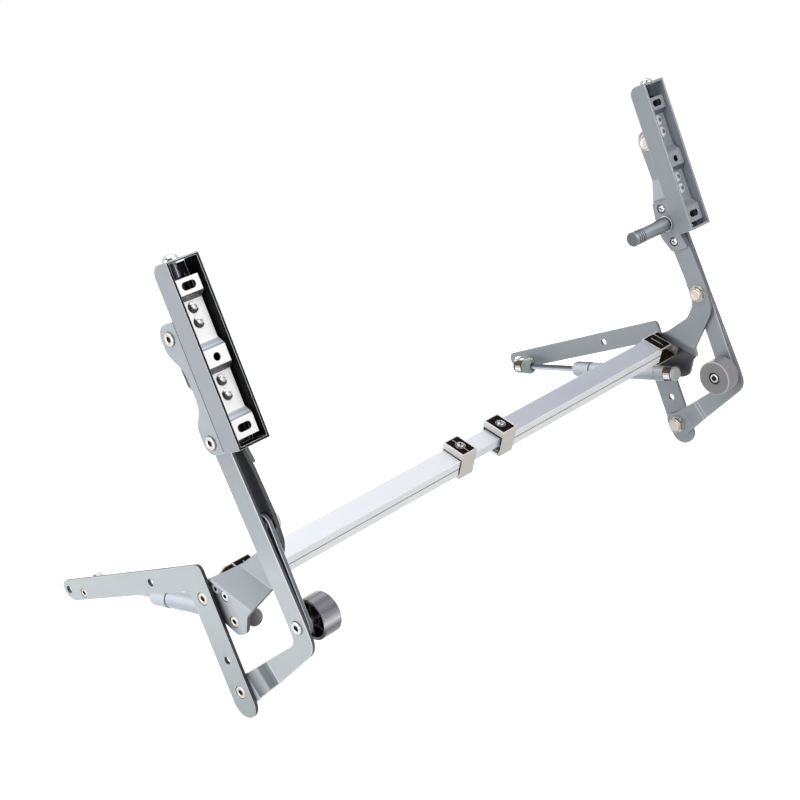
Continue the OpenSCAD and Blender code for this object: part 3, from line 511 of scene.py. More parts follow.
def tube_face(side, p, n):
    dx, dz = p.x - TUBE_P[0], p.z - TUBE_P[1]
    c, s = math.cos(TUBE_ROLL), math.sin(TUBE_ROLL)
    a, b = dx * s - dz * c, dx * c + dz * s
    half = TUBE_W / 2
    # The grooves take painted shade, the line on the right tube a painted highlight, and the front faces
    # painted light.
    if half - 0.52 < abs(a) < half - 0.05 and -0.4 < b < 0.6:
        return "groove"
    if side == "right" and a > half - 0.3 and TUBE_LINES[0] < b < TUBE_LINES[1]:
        return "line"
    return "front" if abs(a) > half - 0.3 and abs(b) < TUBE_H / 2 - 0.1 else "flat"


# Every node starts with a plain finish for its kind, so that none is left bare. Kinds that
# aren't listed are pivots, axles and studs.
KINDS = {
    "wall_bracket": PAINT, "guide_leg": PAINT, "lift_arm": ARM_PAINT, "link_bar": ARM_PAINT,
    "coupler_plate": ARM_PAINT, "channel": CHANNEL_PAINT, "peg_plate": ARM_PAINT, "peg": PEG,
    "tube_bracket": CLAMP, "clamp": CLAMP, "clamp_screw": STEEL, "channel_screw": STEEL,
    "mounting_strip": CHROME, "strut_rod": CHROME, "adjuster_rail": RAIL, "roller": TYRE,
    "rod_socket": SOCKET, "tail_socket": TAIL, "strut_cylinder": CYLINDER, "seal_cap": CAP,
    "outer_tube": ALU, "inner_tube": ALU}
for name, node in frame["nodes"].items():
    side, kind = ("left", name) if name == "inner_tube" else name.split("_", 1)
    finish = KINDS.get(kind, NICKEL)
    node.data.materials.clear()
    node.data.materials.append(finish[side] if isinstance(finish, dict) else finish)

for side in ("left", "right"):
    left = side == "left"
    # Thickness edges take painted shade, darker on the left unit, where the inward rounded edges take it
    # too; elsewhere rounded edges take painted highlight.
    edge = EDGE_SHADE if left else SHADED_GREY
    far = "edge" if left else "rim"
    arm = ARM_PAINT[side]
    # The guide leg is divided where painted highlight lines run along its creases.
    across = (math.cos(LEG_BEND), 0, math.sin(LEG_BEND))
    creases = [((LEG_P[0] + (u + wide) / math.cos(LEG_BEND), 0, LEG_P[1]), across)
               for u in LEG_FOLD_HIGHLIGHTS[side] for wide in (0, FOLD_LINE)]
    sheet = {"flat": arm, "edge": edge, "rim": PAINTED_HIGHLIGHT}
    rounded_copy(side, "wall_bracket", {**sheet, "flat": PAINT[side]}, 0.5, sheet_face, far_edge=far)
    rounded_copy(side, "guide_leg", {"flat": LEG_PAINT[side], "edge": edge, "ramp": RAMP_SHADE_STREAKS,
                                     "crease": PAINTED_HIGHLIGHT, "rim": PAINTED_HIGHLIGHT}, 0.5, leg_face,
                 split=creases, far_edge=far)
    rounded_copy(side, "lift_arm", {"flat": arm, "edge": edge, "upper": SHADE_PAINT,
                                    "foot_inside": DARK_REFLECTION, "bend": BEND_LIGHT, "foot": FOOT_SHADOW,
                                    "rim": PAINTED_HIGHLIGHT}, 0.5, arm_face, split=[((0, 0, 40), (0, 0, 1))])
    # The left link bar's face and edges take painted shade.
    rounded_copy(side, "link_bar", {"flat": SHADE_PAINT, "edge": LINK_EDGE_SHADE, "rim": PAINTED_HIGHLIGHT} if left
                 else sheet, 0.4, sheet_face)
    rounded_copy(side, "coupler_plate", sheet, 0.4, sheet_face, far_edge=far)
    # The channel's inside takes painted shade on the left unit and a lighter blue-grey on the right.
    inside = INSIDE_SHADE if left else BLUE_INSIDE
    rounded_copy(side, "channel", {"flat": CHANNEL_PAINT[side], "inside": inside, "rim": PAINTED_HIGHLIGHT}, 0.35,
                 channel_face)
    if left:
        strip = {"flat": STRIP, "rivet": RIVET, "hole": INSIDE_SHADE, "shade": STRIP_SHADE,
                 "rivet_shade": SHADED_RIVET, "fold_low": STRIP_FOLD_REFLECTIONS[0], "fold_high": STRIP_FOLD_REFLECTIONS[1],
                 "rim": STRIP}
    else:
        # The right strip takes the arm paint, with painted shade on its rivets, lower bends and holes and
        # painted highlight rings.
        strip = {"flat": arm, "rivet": SHADED_GREY, "hole": INSIDE_SHADE, "shade": SHADED_GREY,
                 "ring": WHITE_HIGHLIGHT, "rim": PAINTED_HIGHLIGHT}
    rounded_copy(side, "mounting_strip", strip, 0.3 if left else 0.6, strip_face, 45 if left else SMOOTH)
    rounded_copy(side, "peg_plate", {"flat": arm, "edge": SHADED_GREY, "screw": STEEL, "recess": RECESS_SHADE,
                                     "rim": PAINTED_HIGHLIGHT}, 0.2, peg_plate_face)
    rounded_copy(side, "tube_bracket", {"flat": CLAMP, "inside": DARK_BROWN_METAL, "painted_screw": arm,
                                        "bright_screw": PAINTED_HIGHLIGHT, "recess": RECESS_SHADE, "rim": STEEL},
                 0.25, tube_bracket_face)
    rounded_copy(side, "clamp", {"flat": CLAMP, "inside": GAP_SHADOW, "rim": STEEL}, 0.4, clamp_face)
    c, s = math.cos(TUBE_ROLL), math.sin(TUBE_ROLL)
    lines = [((TUBE_P[0] + b * c, 0, TUBE_P[1] + b * s), (c, 0, s)) for b in TUBE_LINES]
    rounded_copy(side, "outer_tube", {"flat": ALU[side], "groove": GROOVE_SHADE, "line": WHITE_HIGHLIGHT,
                                      "front": TUBE_FRONT_LIGHT, "rim": WHITE_HIGHLIGHT}, 0.45, tube_face,
                 split=() if left else lines)


# Detailed pieces, built from points of one unit

class Piece:
    """Collects the faces of one piece from side view millimetres of one unit."""

    def __init__(self, side):
        self.side, self.bm = side, bmesh.new()

    def skin(self, rings, mat=0):
        """Faces between rings of points; a ring of one point closes the skin there."""
        made = [[self.bm.verts.new(row(self.side, *p)) for p in ring] for ring in rings]
        for a, b in zip(made, made[1:]):
            n = max(len(a), len(b))
            for i in range(n):
                j = (i + 1) % n
                corners = [a[i % len(a)], a[j % len(a)], b[j % len(b)], b[i % len(b)]]
                face = self.bm.faces.new(list(dict.fromkeys(corners)))
                face.material_index = mat
        return made

    def lathe(self, p, profile, mat=0, n=48):
        """Turned skin about a Y axis, from points of radius and depth."""
        self.skin([circle(p, r, y, n) for r, y in profile], mat)

    def strut_lathe(self, profile, mat=0, n=48):
        """Turned skin about the strut's axis, from points of distance and radius."""
        self.skin([strut_circle(u, r, n) for u, r in profile], mat)

    def tube_box(self, a0, a1, b0, b1, y0, y1, mat=0, edge=0.15):
        """Box in the rolled frame of the cross tube, with its upper edges cut back."""
        rings = []
        for y, b, e in ((0, b0, 0), (0, b1 - edge, 0), (1, b1, edge)):
            rings.append([tube_point(a, b, d) for a, d in (
                (a0 + e, y0 + e), (a1 - e, y0 + e), (a1 - e, y1 - e), (a0 + e, y1 - e))])
        self.cap(self.skin(rings, mat), mat)

    def object(self, name, mats, *nodes):
        """Makes the piece. mats lists the finishes that mat counts in its skins, or is the only one."""
        obj = from_bmesh(self.bm, self.side + "_" + name, mats)
        if nodes:
            stand_for(obj, *[self.side + "_" + n for n in nodes])
        return obj

    def cap(self, rings, mat=0):
        """Flat faces on the first and the last ring of a skin."""
        for ring in (rings[0], rings[-1]):
            self.bm.faces.new(ring).material_index = mat


def circle(p, r, y, n=48, turn=0.0):
    if r == 0:
        return [(p[0], y, p[1])]
    return [(p[0] + r * math.cos(math.radians(turn) + 2 * math.pi * i / n), y,
             p[1] + r * math.sin(math.radians(turn) + 2 * math.pi * i / n)) for i in range(n)]


def hexagon(p, corners, height, n=48, turn=0.0):
    """Ring on a hexagon; height is a depth, or gives it from the distance to the centre."""
    flat = corners / 2 * math.cos(math.pi / 6)
    ring = []
    for i in range(n):
        t = 360 * i / n
        r = flat / math.cos(math.radians(t % 60 - 30))
        a = math.radians(t + turn)
        y = height(r) if callable(height) else height
        ring.append((p[0] + r * math.cos(a), y, p[1] + r * math.sin(a)))
    return ring


def strut_point(u, v, w):
    """u along the strut from its fixed ball, v up across it, w sideways."""
    c, s = math.cos(STRUT_TILT), math.sin(STRUT_TILT)
    return (ROD_P[0] + u * c - v * s, STRUT_Y + w, ROD_P[1] + u * s + v * c)


def strut_circle(u, r, n=48):
    return [strut_point(u, v, w) for w, _, v in circle((0, 0), r, 0, n)]


def tube_point(a, b, y):
    """a across the cross tube, b up through it, y the depth from the wall face."""
    c, s = math.cos(TUBE_ROLL), math.sin(TUBE_ROLL)
    return (TUBE_P[0] + a * s + b * c, y, TUBE_P[1] - a * c + b * s)


def socket_head(piece, p, r, y0, y1):
    """Round head with a rounded rim and a hexagonal recess, seen from the wall side. The recess and a thin
    ring where the head meets the sheet take finish 1, which is painted shade.
    """
    piece.lathe(p, [(r * 0.6, y1), (r, y1), (r, y0 + 0.45), (r - 0.12, y0 + 0.22), (r - 0.4, y0 + 0.05),
                    (r - 0.9, y0), (r * 0.56, y0)])
    piece.lathe(p, [(r, y1 - 0.06), (r + 0.28, y1 - 0.06), (r + 0.28, y1)], 1)
    key = r * 0.46 * 2
    deep = y0 + (y1 - y0) * 0.85
    mouth = hexagon(p, key + 0.25, y0 + 0.2, turn=15)
    piece.skin([circle(p, r * 0.56, y0, turn=15), mouth])
    piece.skin([mouth, hexagon(p, key, deep - 0.2, turn=15), circle(p, key * 0.25, deep, turn=15),
                circle(p, 0, deep)], 1)


def nut(piece, p, y0, y1, turn):
    """Washer, chamfered hexagon nut and the rounded end of its bolt."""
    n, corners = WHEEL, NUT_CORNERS
    piece.lathe(p, [(3, y0), (7.5, y0), (7.7, y0 + 0.2), (7.7, y0 + 0.6), (7.5, y0 + 0.8),
                    (6, y0 + 0.8)], n=n)
    top = y1 - 0.9
    flat = corners / 2 * math.cos(math.pi / 6)
    slope = math.tan(math.radians(32))

    def crown(r):
        return top - max(0, r - flat * 0.97) * slope

    piece.skin([hexagon(p, corners - 0.1, y0 + 0.75, n, turn), hexagon(p, corners, y0 + 1, n, turn),
                hexagon(p, corners, crown, n, turn)]
               + [circle(p, r, y, n, turn) for r, y in (
                   (flat * 0.95, top), (5.7, top), (5.5, top - 0.25), (5.2, top - 0.25), (5.2, y1 - 0.4),
                   (5.05, y1 - 0.14), (4.7, y1), (3.4, y1), (3.2, y1 - 0.12), (0, y1 - 0.12))])


def pivots(side):
    """The bolts with their heads, spacers and nuts on which the sheets turn."""
    inner = PRESSED + SHEET + 0.4
    piece = Piece(side)
    socket_head(piece, LIFT_P, HEAD_R, 0.2, 1.7)
    piece.lathe(LIFT_P, [(SHANK_R, 1.6), (SHANK_R, inner + 0.1)])
    piece.lathe(LIFT_P, [(SHANK_R, inner), (6.4, inner), (6.6, inner + 0.2), (6.6, inner + 1.5),
                         (6.3, inner + 2), (5.5, inner + 2.3), (4, inner + 2.4), (0, inner + 2.4)])
    piece.object("lift_pivot_bolt", [NICKEL, RECESS_SHADE], "lift_pivot")
    piece = Piece(side)
    socket_head(piece, LEG_P, HEAD_R, 0.2, 1.7)
    piece.lathe(LEG_P, [(SHANK_R, 1.6), (SHANK_R, inner + 0.1)])
    nut(piece, LEG_P, inner, inner + 6, 12)
    piece.object("leg_pivot_bolt", [NICKEL, RECESS_SHADE], "leg_pivot")
    piece = Piece(side)
    end = LINK + LINK_T + 0.3
    piece.lathe(LINK_P, [(0, LINK + 0.1), (4.7, LINK + 0.1), (5, LINK + 0.4), (5, LINK + 1.3),
                         (SHANK_R, LINK + 1.3), (SHANK_R, end), (6.4, end), (6.6, end + 0.2),
                         (6.6, ARM), (SHANK_R, ARM), (SHANK_R, ARM_IN + 0.1)])
    nut(piece, LINK_P, ARM_IN, ARM_IN + 5.6, 20)
    piece.object("link_pivot_bolt", [NICKEL, RECESS_SHADE], "link_pivot")
    for p, turn, y1, name in ((ARM_HEAD_P, 8, LEG + SHEET + 4.8, "arm_head_pivot"),
                              (LEG_HEAD_P, 25, ARM - 0.6, "leg_head_pivot")):
        piece = Piece(side)
        socket_head(piece, p, HEAD_R, COUPLER - 1.6, COUPLER)
        piece.lathe(p, [(SHANK_R, COUPLER - 0.1), (SHANK_R, COUPLER + SHEET), (6.2, COUPLER + SHEET),
                        (6.4, COUPLER + SHEET + 0.2), (6.4, LEG - 0.6), (6.2, LEG - 0.4),
                        (SHANK_R, LEG - 0.4), (SHANK_R, LEG + SHEET + 0.5)])
        nut(piece, p, LEG + SHEET + 0.4, y1, turn)
        piece.object(name + "_bolt", [NICKEL, RECESS_SHADE], name)


def roller_parts(side):
    """Roller with a hollow back and spokes, and the bolt on which it spins. The hollow back and the spokes
    take painted shade, and the rounded rim a painted highlight.
    """
    y0 = ARM_IN + 1.2
    y1 = y0 + ROLLER_W
    r = ROLLER_R
    piece = Piece(side)
    piece.lathe(ROLLER_P, [(4.06, y0 + 2), (6.7, y0 + 2), (7, y0 + 2.3), (7, y1 - 4.2), (7.2, y1 - 4),
                           (r - 2.6, y1 - 4), (r - 2.4, y1 - 4.2), (r - 2.4, y0 + 0.5)], 1, WHEEL)
    piece.lathe(ROLLER_P, [(r - 2.4, y0 + 0.5), (r - 2.2, y0 + 0.15), (r - 1.9, y0), (r - 1.0, y0),
                           (r - 0.45, y0 + 0.15), (r - 0.12, y0 + 0.5), (r, y0 + 1), (r, y1 - 1.3),
                           (r - 0.12, y1 - 0.7)], 0, WHEEL)
    piece.lathe(ROLLER_P, [(r - 0.12, y1 - 0.7), (r - 0.45, y1 - 0.25), (r - 1.1, y1)], 3, WHEEL)
    piece.lathe(ROLLER_P, [(r - 1.1, y1), (7.2, y1), (6.9, y1 - 0.25), (6.6, y1 - 0.25), (6.3, y1),
                           (5.9, y1), (5.6, y1 - 0.2), (5.5, y1 - 0.5), (5.5, y1 - 2.4),
                           (4.06, y1 - 2.4), (4.06, y0 + 2)], 2, WHEEL)
    for k in range(SPOKES):
        a = math.radians(360 / SPOKES * k + 12)
        c, s = math.cos(a), math.sin(a)
        rings = []
        for y in (y0 + 1.6, y1 - 3.9):
            rings.append([(ROLLER_P[0] + u * c - v * s, y, ROLLER_P[1] + u * s + v * c)
                          for u, v in ((6.8, -0.8), (r - 2.2, -0.6), (r - 2.2, 0.6), (6.8, 0.8))])
        piece.cap(piece.skin(rings, 1), 1)
    piece.object("roller_wheel", [TYRE_HIGHLIGHTS if side == "left" else TYRE, TYRE_INSIDE_SHADE, TYRE_FACE, TYRE_RIM_HIGHLIGHT],
                 "roller")
    piece = Piece(side)
    socket_head(piece, ROLLER_P, HEAD_R, LEG - 1.6, LEG)
    piece.lathe(ROLLER_P, [(4, LEG - 0.1), (4, ARM - 0.1), (6.4, ARM - 0.1), (6.6, ARM + 0.1),
                           (6.6, y0 + 1.5), (6.4, y0 + 1.7), (4, y0 + 1.7), (4, y1 - 2.3)])
    top = y1 - 0.2
    piece.lathe(ROLLER_P, [(4, y1 - 2.3), (5.4, y1 - 2.3), (5.4, y1 - 1.1), (4.1, y1 - 0.9)], 1)
    piece.lathe(ROLLER_P, [(4.1, y1 - 0.9), (4.1, top - 0.5), (3.95, top - 0.2), (3.6, top), (2.6, top)])
    mouth = hexagon(ROLLER_P, 4.7, top - 0.2, turn=10)
    piece.skin([circle(ROLLER_P, 2.6, top, turn=10), mouth], 2)
    piece.skin([mouth, hexagon(ROLLER_P, 4.5, y1 - 1.5, turn=10), circle(ROLLER_P, 0, y1 - 1.6)], 1)
    piece.object("roller_axle_bolt", [STEEL, RECESS_SHADE, DARK_BROWN_METAL], "roller_axle")


def clip_band(piece, u0, u1, r):
    """Spring clip round a barrel: a thin band with a gap in its round, with painted shade over part of it.
    """
    n = 44
    gap_from, gap_to = 205, 335
    angles = [math.radians(gap_to + (gap_from + 360 - gap_to) * i / n) for i in range(n + 1)]
    section = [(u0, 0), (u0, 0.35), (u0 + 0.2, 0.5), (u1 - 0.2, 0.5), (u1, 0.35), (u1, 0)]
    rings = [[strut_point(u, (r + h) * math.sin(a), (r + h) * math.cos(a)) for u, h in section]
             for a in angles]
    in_shade = [20 < math.degrees(a) % 360 < 66 for a in angles]
    parts = [rings[:1]]
    for k in range(n):
        parts[-1].append(rings[k + 1])
        if k + 1 < n and in_shade[k] != in_shade[k + 1]:
            parts.append([rings[k + 1]])
    shaded = False
    for part in parts:
        made = piece.skin(part, 2 if shaded else 1)
        shaded = not shaded
        if part is parts[0]:
            piece.bm.faces.new(made[0]).material_index = 1
        if part is parts[-1]:
            piece.bm.faces.new(made[-1]).material_index = 1


def strut(side):
    """Ball stud, rod end with its clip and lug, rod, cylinder and seal cap."""
    y = STRUT_Y
    piece = Piece(side)
    socket_head(piece, ROD_P, 3.9, 0.2, 1.7)
    piece.lathe(ROD_P, [(2.5, 1.6), (2.5, SHEET), (4.2, SHEET), (4.4, SHEET + 0.2), (4.4, SHEET + 1.4),
                        (3, SHEET + 2.6), (2.5, SHEET + 2.8), (2.5, y - 4.2)]
                + [(BALL_R * math.cos(math.radians(k)), y + BALL_R * math.sin(math.radians(k)))
                   for k in range(-58, 90, 8)] + [(0, y + BALL_R)])
    piece.object("ball_stud", [NICKEL, RECESS_SHADE], "rod_stud")
    end = CAP_AT + CAP_LEN
    piece = Piece(side)
    r = BARREL_R
    piece.strut_lathe([(SOCKET_REACH - 2, ROD_R + 0.1), (SOCKET_REACH - 0.3, ROD_R + 0.9),
                       (SOCKET_REACH, ROD_R + 1.3), (SOCKET_REACH, r - 2.8), (SOCKET_REACH - 0.4, r - 1.6),
                       (SOCKET_REACH - 1.2, r - 0.7), (SOCKET_REACH - 2.2, r - 0.15),
                       (SOCKET_REACH - 2.8, r), (5.7, r)], 0, FINE)
    # The band under the clip takes painted shade, and the rounded end a grey painted shade.
    piece.strut_lathe([(5.7, r), (5.5, r - 0.25), (5.4, r - 0.6), (-2.4, r - 0.6),
                       (-2.6, r - 0.5), (-3.2, r - 0.5)], 3, FINE)
    piece.strut_lathe([(-3.2, r - 0.5), (-5, r - 0.7), (-5.8, r - 1.2), (-6.4, r - 2.1), (-6.6, r - 3.2),
                       (-6.6, 0)], 4, FINE)
    clip_band(piece, -2.3, 4.8, r - 0.25)
    lug = [[strut_point(u, v, w) for u, w in (
        (-5.2 + e, -3 + e), (-0.6 - e, -3 + e), (-0.6 - e, 3.2 - e), (-5.2 + e, 3.2 - e))]
        for v, e in ((6, 0), (8.2, 0), (8.8, 0.4))]
    piece.cap(piece.skin(lug, 1), 1)
    piece.object("rod_end", [SOCKET, CHROME, SHADED_CLIP, RECESS_SHADE, SHADED_GREY], "rod_socket")
    piece = Piece(side)
    piece.strut_lathe([(9.2, 0), (9.2, ROD_R), (end + 3, ROD_R), (end + 3, CYL_R - 1.1),
                       (end + 11, CYL_R - 1.1), (end + 11, 0)])
    piece.object("polished_rod", ROD, "strut_rod")
    piece = Piece(side)
    piece.strut_lathe([(end + 0.1, CYL_R - 1), (end + 0.1, CYL_R - 0.4), (end + 0.3, CYL_R - 0.15),
                       (end + 0.7, CYL_R), (TAIL_AT - 1.6, CYL_R), (TAIL_AT - 0.9, CYL_R - 0.15),
                       (TAIL_AT - 0.5, CYL_R - 0.5), (TAIL_AT - 0.3, CYL_R - 1.1), (TAIL_AT - 0.3, 0)],
                      0, FINE)
    piece.strut_lathe([(TAIL_AT - 3, 0), (TAIL_AT - 3, CYL_R - 1), (end + 0.1, CYL_R - 1)], 0, FINE)
    piece.object("cylinder", CYLINDER, "strut_cylinder")
    piece = Piece(side)
    r = CAP_R
    piece.strut_lathe([(CAP_AT, ROD_R + 0.06), (CAP_AT, r - 2.9), (CAP_AT + 0.2, r - 2.2),
                       (CAP_AT + 0.6, r - 1.5), (CAP_AT + 1.2, r - 0.9), (CAP_AT + 2.1, r - 0.4),
                       (CAP_AT + 3.2, r - 0.1), (CAP_AT + 4.4, r), (end - 0.7, r)], 0, FINE)
    piece.strut_lathe([(end - 0.7, r), (end - 0.5, r - 0.3), (end, r - 0.35), (end, ROD_R + 0.06),
                       (CAP_AT, ROD_R + 0.06)], 1, FINE)
    piece.object("end_cap", [CAP, SEAM], "seal_cap")


def tail(side):
    """Barrel at the end of the cylinder, and the ball stud in it."""
    u, r = STRUT_LEN, BARREL_R
    piece = Piece(side)
    # The step at the cylinder and the band under the clip take painted shade.
    piece.strut_lathe([(TAIL_AT - 0.3, 0), (TAIL_AT - 0.3, r - 1), (TAIL_AT - 0.1, r - 0.5)], 3, FINE)
    piece.strut_lathe([(TAIL_AT - 0.1, r - 0.5), (TAIL_AT + 0.3, r - 0.2), (TAIL_AT + 0.8, r - 0.1),
                       (u - 5.6, r - 0.1)], 4, FINE)
    piece.strut_lathe([(u - 5.6, r - 0.1), (u - 5.4, r - 0.3), (u - 5.3, r - 0.6), (u + 2.4, r - 0.6),
                       (u + 2.7, r - 0.6)], 3, FINE)
    piece.strut_lathe([(u + 2.7, r - 0.6), (u + 3, r - 0.45), (u + 4.6, r - 0.5), (u + 5.4, r - 0.7),
                       (u + 6.1, r - 1.2), (u + 6.5, r - 1.9), (u + 6.6, r - 2.6), (u + 6.6, 0)], 0, FINE)
    clip_band(piece, u - 5, u + 2.3, r - 0.3)
    piece.object("tail_barrel", [TAIL[side], CHROME, SHADED_CLIP, RECESS_SHADE, CYLINDER], "tail_socket")
    piece = Piece(side)
    socket_head(piece, STUD_P, 4.3, PRESSED + 0.1, PRESSED + 1.6)
    piece.lathe(STUD_P, [(2.5, PRESSED + 1.5), (2.5, STRUT_Y + 2.2), (2.1, STRUT_Y + 2.6),
                         (0, STRUT_Y + 2.6)])
    piece.object("tail_ball_stud", [NICKEL, RECESS_SHADE], "tail_stud")


def channel_screw(side):
    """Round head with a hexagonal socket on top of the channel, on a shank that shows inside."""
    z1 = CHANNEL_Z + CHANNEL_H
    x, w = 97.5, STRIP_Y - 2

    def ring(r, z, shape=circle):
        return [(x + a, w + c, z) for a, _, c in shape((0, 0), r, 0)]

    piece = Piece(side)
    piece.skin([ring(r, z1 + h) for r, h in (
        (2.5, 0), (5.9, 0), (6, 0.15), (5.95, 1), (5.6, 2), (4.9, 2.8), (3.9, 3.5), (2.9, 3.9), (2.6, 4),
        (2.2, 4))])
    piece.skin([ring(2.2, z1 + 4), ring(3.9, z1 + 3.85, hexagon), ring(3.8, z1 + 2.4, hexagon),
                ring(0, z1 + 2.3)], 1)
    pitch = 0.6
    thread = [(2.5, 0.1), (2.5, -2)]
    for k in range(16):
        thread += [(2.5, -2.1 - pitch * k), (2.15, -2.4 - pitch * k)]
    # The shank takes painted highlights and shade on the left unit, and a grey painted shade on the right.
    piece.skin([ring(r, z1 + h) for r, h in thread + [(2.5, -11.9), (1.6, -12), (0, -12)]],
               3 if side == "left" else 2)
    piece.object("top_screw", [STEEL, RECESS_SHADE, SHADED_GREY, SHANK], "channel_screw")


def gap_shadow_line(side):
    """Painted shadow: a dark line on the coupling plate along the rear edge of the channel."""
    piece = Piece(side)
    x0, x1, y0, y1 = CHANNEL_X - 3.3, CHANNEL_X - 1.9, 5.02, 5.14
    rings = [[(x0, y1, z), (x0, y0, z), (x1, y0, z), (x1, y1, z)] for z in (101.6, 140, 180, 194.6)]
    piece.cap(piece.skin(rings))
    line = piece.object("channel_gap_shadow", GAP_SHADOW)
    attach(line, BODY_OF[side + "_channel"])


def peg_piece(side):
    """Peg with a collar, and four grooves near its end. The grooves take painted shade, the collar's
    rounded edge a painted highlight and the end face a grey painted shade.
    """
    y0, y1 = ARM_IN, ARM_IN + 3 + PEG_LEN
    r = PEG_R

    def turned(mat, *profile):
        piece.lathe(PEG_P, profile, mat, FINE)

    piece = Piece(side)
    turned(0, (0, y0), (r, y0), (r, y0 + 3), (7.2, y0 + 3.1), (7.2, y0 + 4))
    turned(2, (7.2, y0 + 4), (7, y0 + 4.3), (r - 0.2, y0 + 4.6))
    turned(1, (r - 0.2, y0 + 4.6), (r - 0.9, y0 + 4.7), (r - 0.9, y0 + 6), (r - 0.2, y0 + 6.3))
    start = (r - 0.2, y0 + 6.3)
    for k in (3, 2, 1, 0):
        g = y1 - 3 - k * 2.6
        turned(0, start, (r, start[1] + 0.2), (r, g - 1.35), (r - 0.2, g - 1.2))
        turned(1, (r - 0.2, g - 1.2), (r - 0.8, g - 1.1), (r - 0.8, g - 0.4), (r - 0.2, g - 0.3))
        start = (r - 0.2, g - 0.3)
    turned(0, start, (r, start[1] + 0.2), (r, y1 - 0.8), (r - 0.15, y1 - 0.3), (r - 0.5, y1 - 0.1),
           (r - 0.8, y1))
    turned(3, (r - 0.8, y1), (3.2, y1), (2.9, y1 - 0.3), (0, y1 - 0.5))
    piece.object("stop_peg", [PEG, EDGE_SHADE, WHITE_HIGHLIGHT, SHADED_GREY], "peg")


def clamp_trim(side, y_end):
    """Dark panels with light lines, gap lines of painted shadow, and the screw with its ring and cross, on
    one clamp.
    """
    w, h = TUBE_W / 2, TUBE_H / 2
    roof, mid = h + CLAMP_ROOF, y_end - 7

    def trim(name, mats):
        obj = piece.object(name, mats)
        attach(obj, side + "_arm")

    def turned(mat, *profile):
        piece.skin([[tube_point(a, roof + up, mid + c) for a, _, c in circle((0, 0), r, 0)]
                    for r, up in profile], mat)

    piece = Piece(side)
    piece.tube_box(-9.6, 9.6, roof, roof + 0.3, y_end - 14.2, y_end + 0.2)
    # On the left unit a light line across the panel is a painted highlight.
    if side == "left":
        piece.tube_box(-9, 9, roof + 0.25, roof + 0.42, y_end - 7.2, y_end - 6.8, 1, 0.05)
    trim("clamp_panel", [BLACK_PANEL, STEEL])
    low, high = (y_end - 15.62, y_end - 15.5) if side == "left" else (y_end + 1.5, y_end + 1.62)
    piece = Piece(side)
    piece.tube_box(-w, w + 0.9, h, h + 1, low, high, 0, 0.02)
    piece.tube_box(w, w + 0.9, -h + 2, h + 0.02, low, high, 0, 0.02)
    trim("clamp_gap_shadow", GAP_SHADOW)
    top = h + 1.3
    piece = Piece(side)
    piece.tube_box(-9.9, 9.9, top, top + 0.15, 22.4, 37.2)
    piece.tube_box(-7, 7.5, top + 0.1, top + 0.25, 29.6, 30.1, 1, 0.03)
    # On the left unit a light line along the bracket panel is a painted highlight.
    if side == "left":
        piece.tube_box(-0.25, 0.25, top + 0.1, top + 0.25, 22.6, 37, 1, 0.03)
    trim("bracket_panel", [BLACK_PANEL, STEEL])
    piece = Piece(side)
    turned(0, (4.4, 0), (4.4, 0.45), (4.3, 0.6), (3.9, 0.6), (3.8, 0.45))
    turned(1, (3.8, 0.45), (3.3, 0.4))
    turned(0, (3.3, 0.4), (3.25, 0.9), (3, 1.3), (2.4, 1.7), (1.5, 1.95), (0, 2.05))
    turned(0, (2, 0), (2, -4.2), (0, -4.2))
    screw = piece.object("clamp_bolt", [RIVET, RECESS_SHADE], "clamp_screw")
    cut_cross(screw, side, mid, roof + 2.05)


def cut_cross(obj, side, mid, top):
    """Cuts a cross into a screw's head."""
    cutters = []
    for turn in (30, 120):
        c, s = math.cos(math.radians(turn)), math.sin(math.radians(turn))
        bm = bmesh.new()
        v = [bm.verts.new(row(side, *tube_point(a * c - b * s, h, mid + a * s + b * c)))
             for h in (top - 1, top + 1)
             for a, b in ((-2.1, -0.42), (2.1, -0.42), (2.1, 0.42), (-2.1, 0.42))]
        for f in ((0, 1, 2, 3), (4, 5, 6, 7), (0, 1, 5, 4), (1, 2, 6, 5), (2, 3, 7, 6), (3, 0, 4, 7)):
            bm.faces.new([v[i] for i in f])
        cutters.append(from_bmesh(bm, "cutter", RECESS_SHADE))
    for cutter in cutters:
        mod = obj.modifiers.new("cut", "BOOLEAN")
        mod.operation, mod.solver, mod.object = "DIFFERENCE", "EXACT", cutter
        settle(obj)
        bpy.data.objects.remove(cutter)
    sharpen(obj.data)


for side in ("left", "right"):
    pivots(side)
    roller_parts(side)
    strut(side)
    tail(side)
    channel_screw(side)
    gap_shadow_line(side)
    clamp_trim(side, CLAMP_END[side])
peg_piece("right")


# Floor, light and camera

def seen_rays(nt):
    """One for camera, glossy and transmission rays, so that metal shows the backdrop too."""
    path = shader(nt, "LightPath")
    last = path.outputs["Is Camera Ray"]
    for name in ("Is Glossy Ray", "Is Transmission Ray"):
        last = shader(nt, "Math", {0: last, 1: path.outputs[name]}, operation="MAXIMUM").outputs[0]
    return last


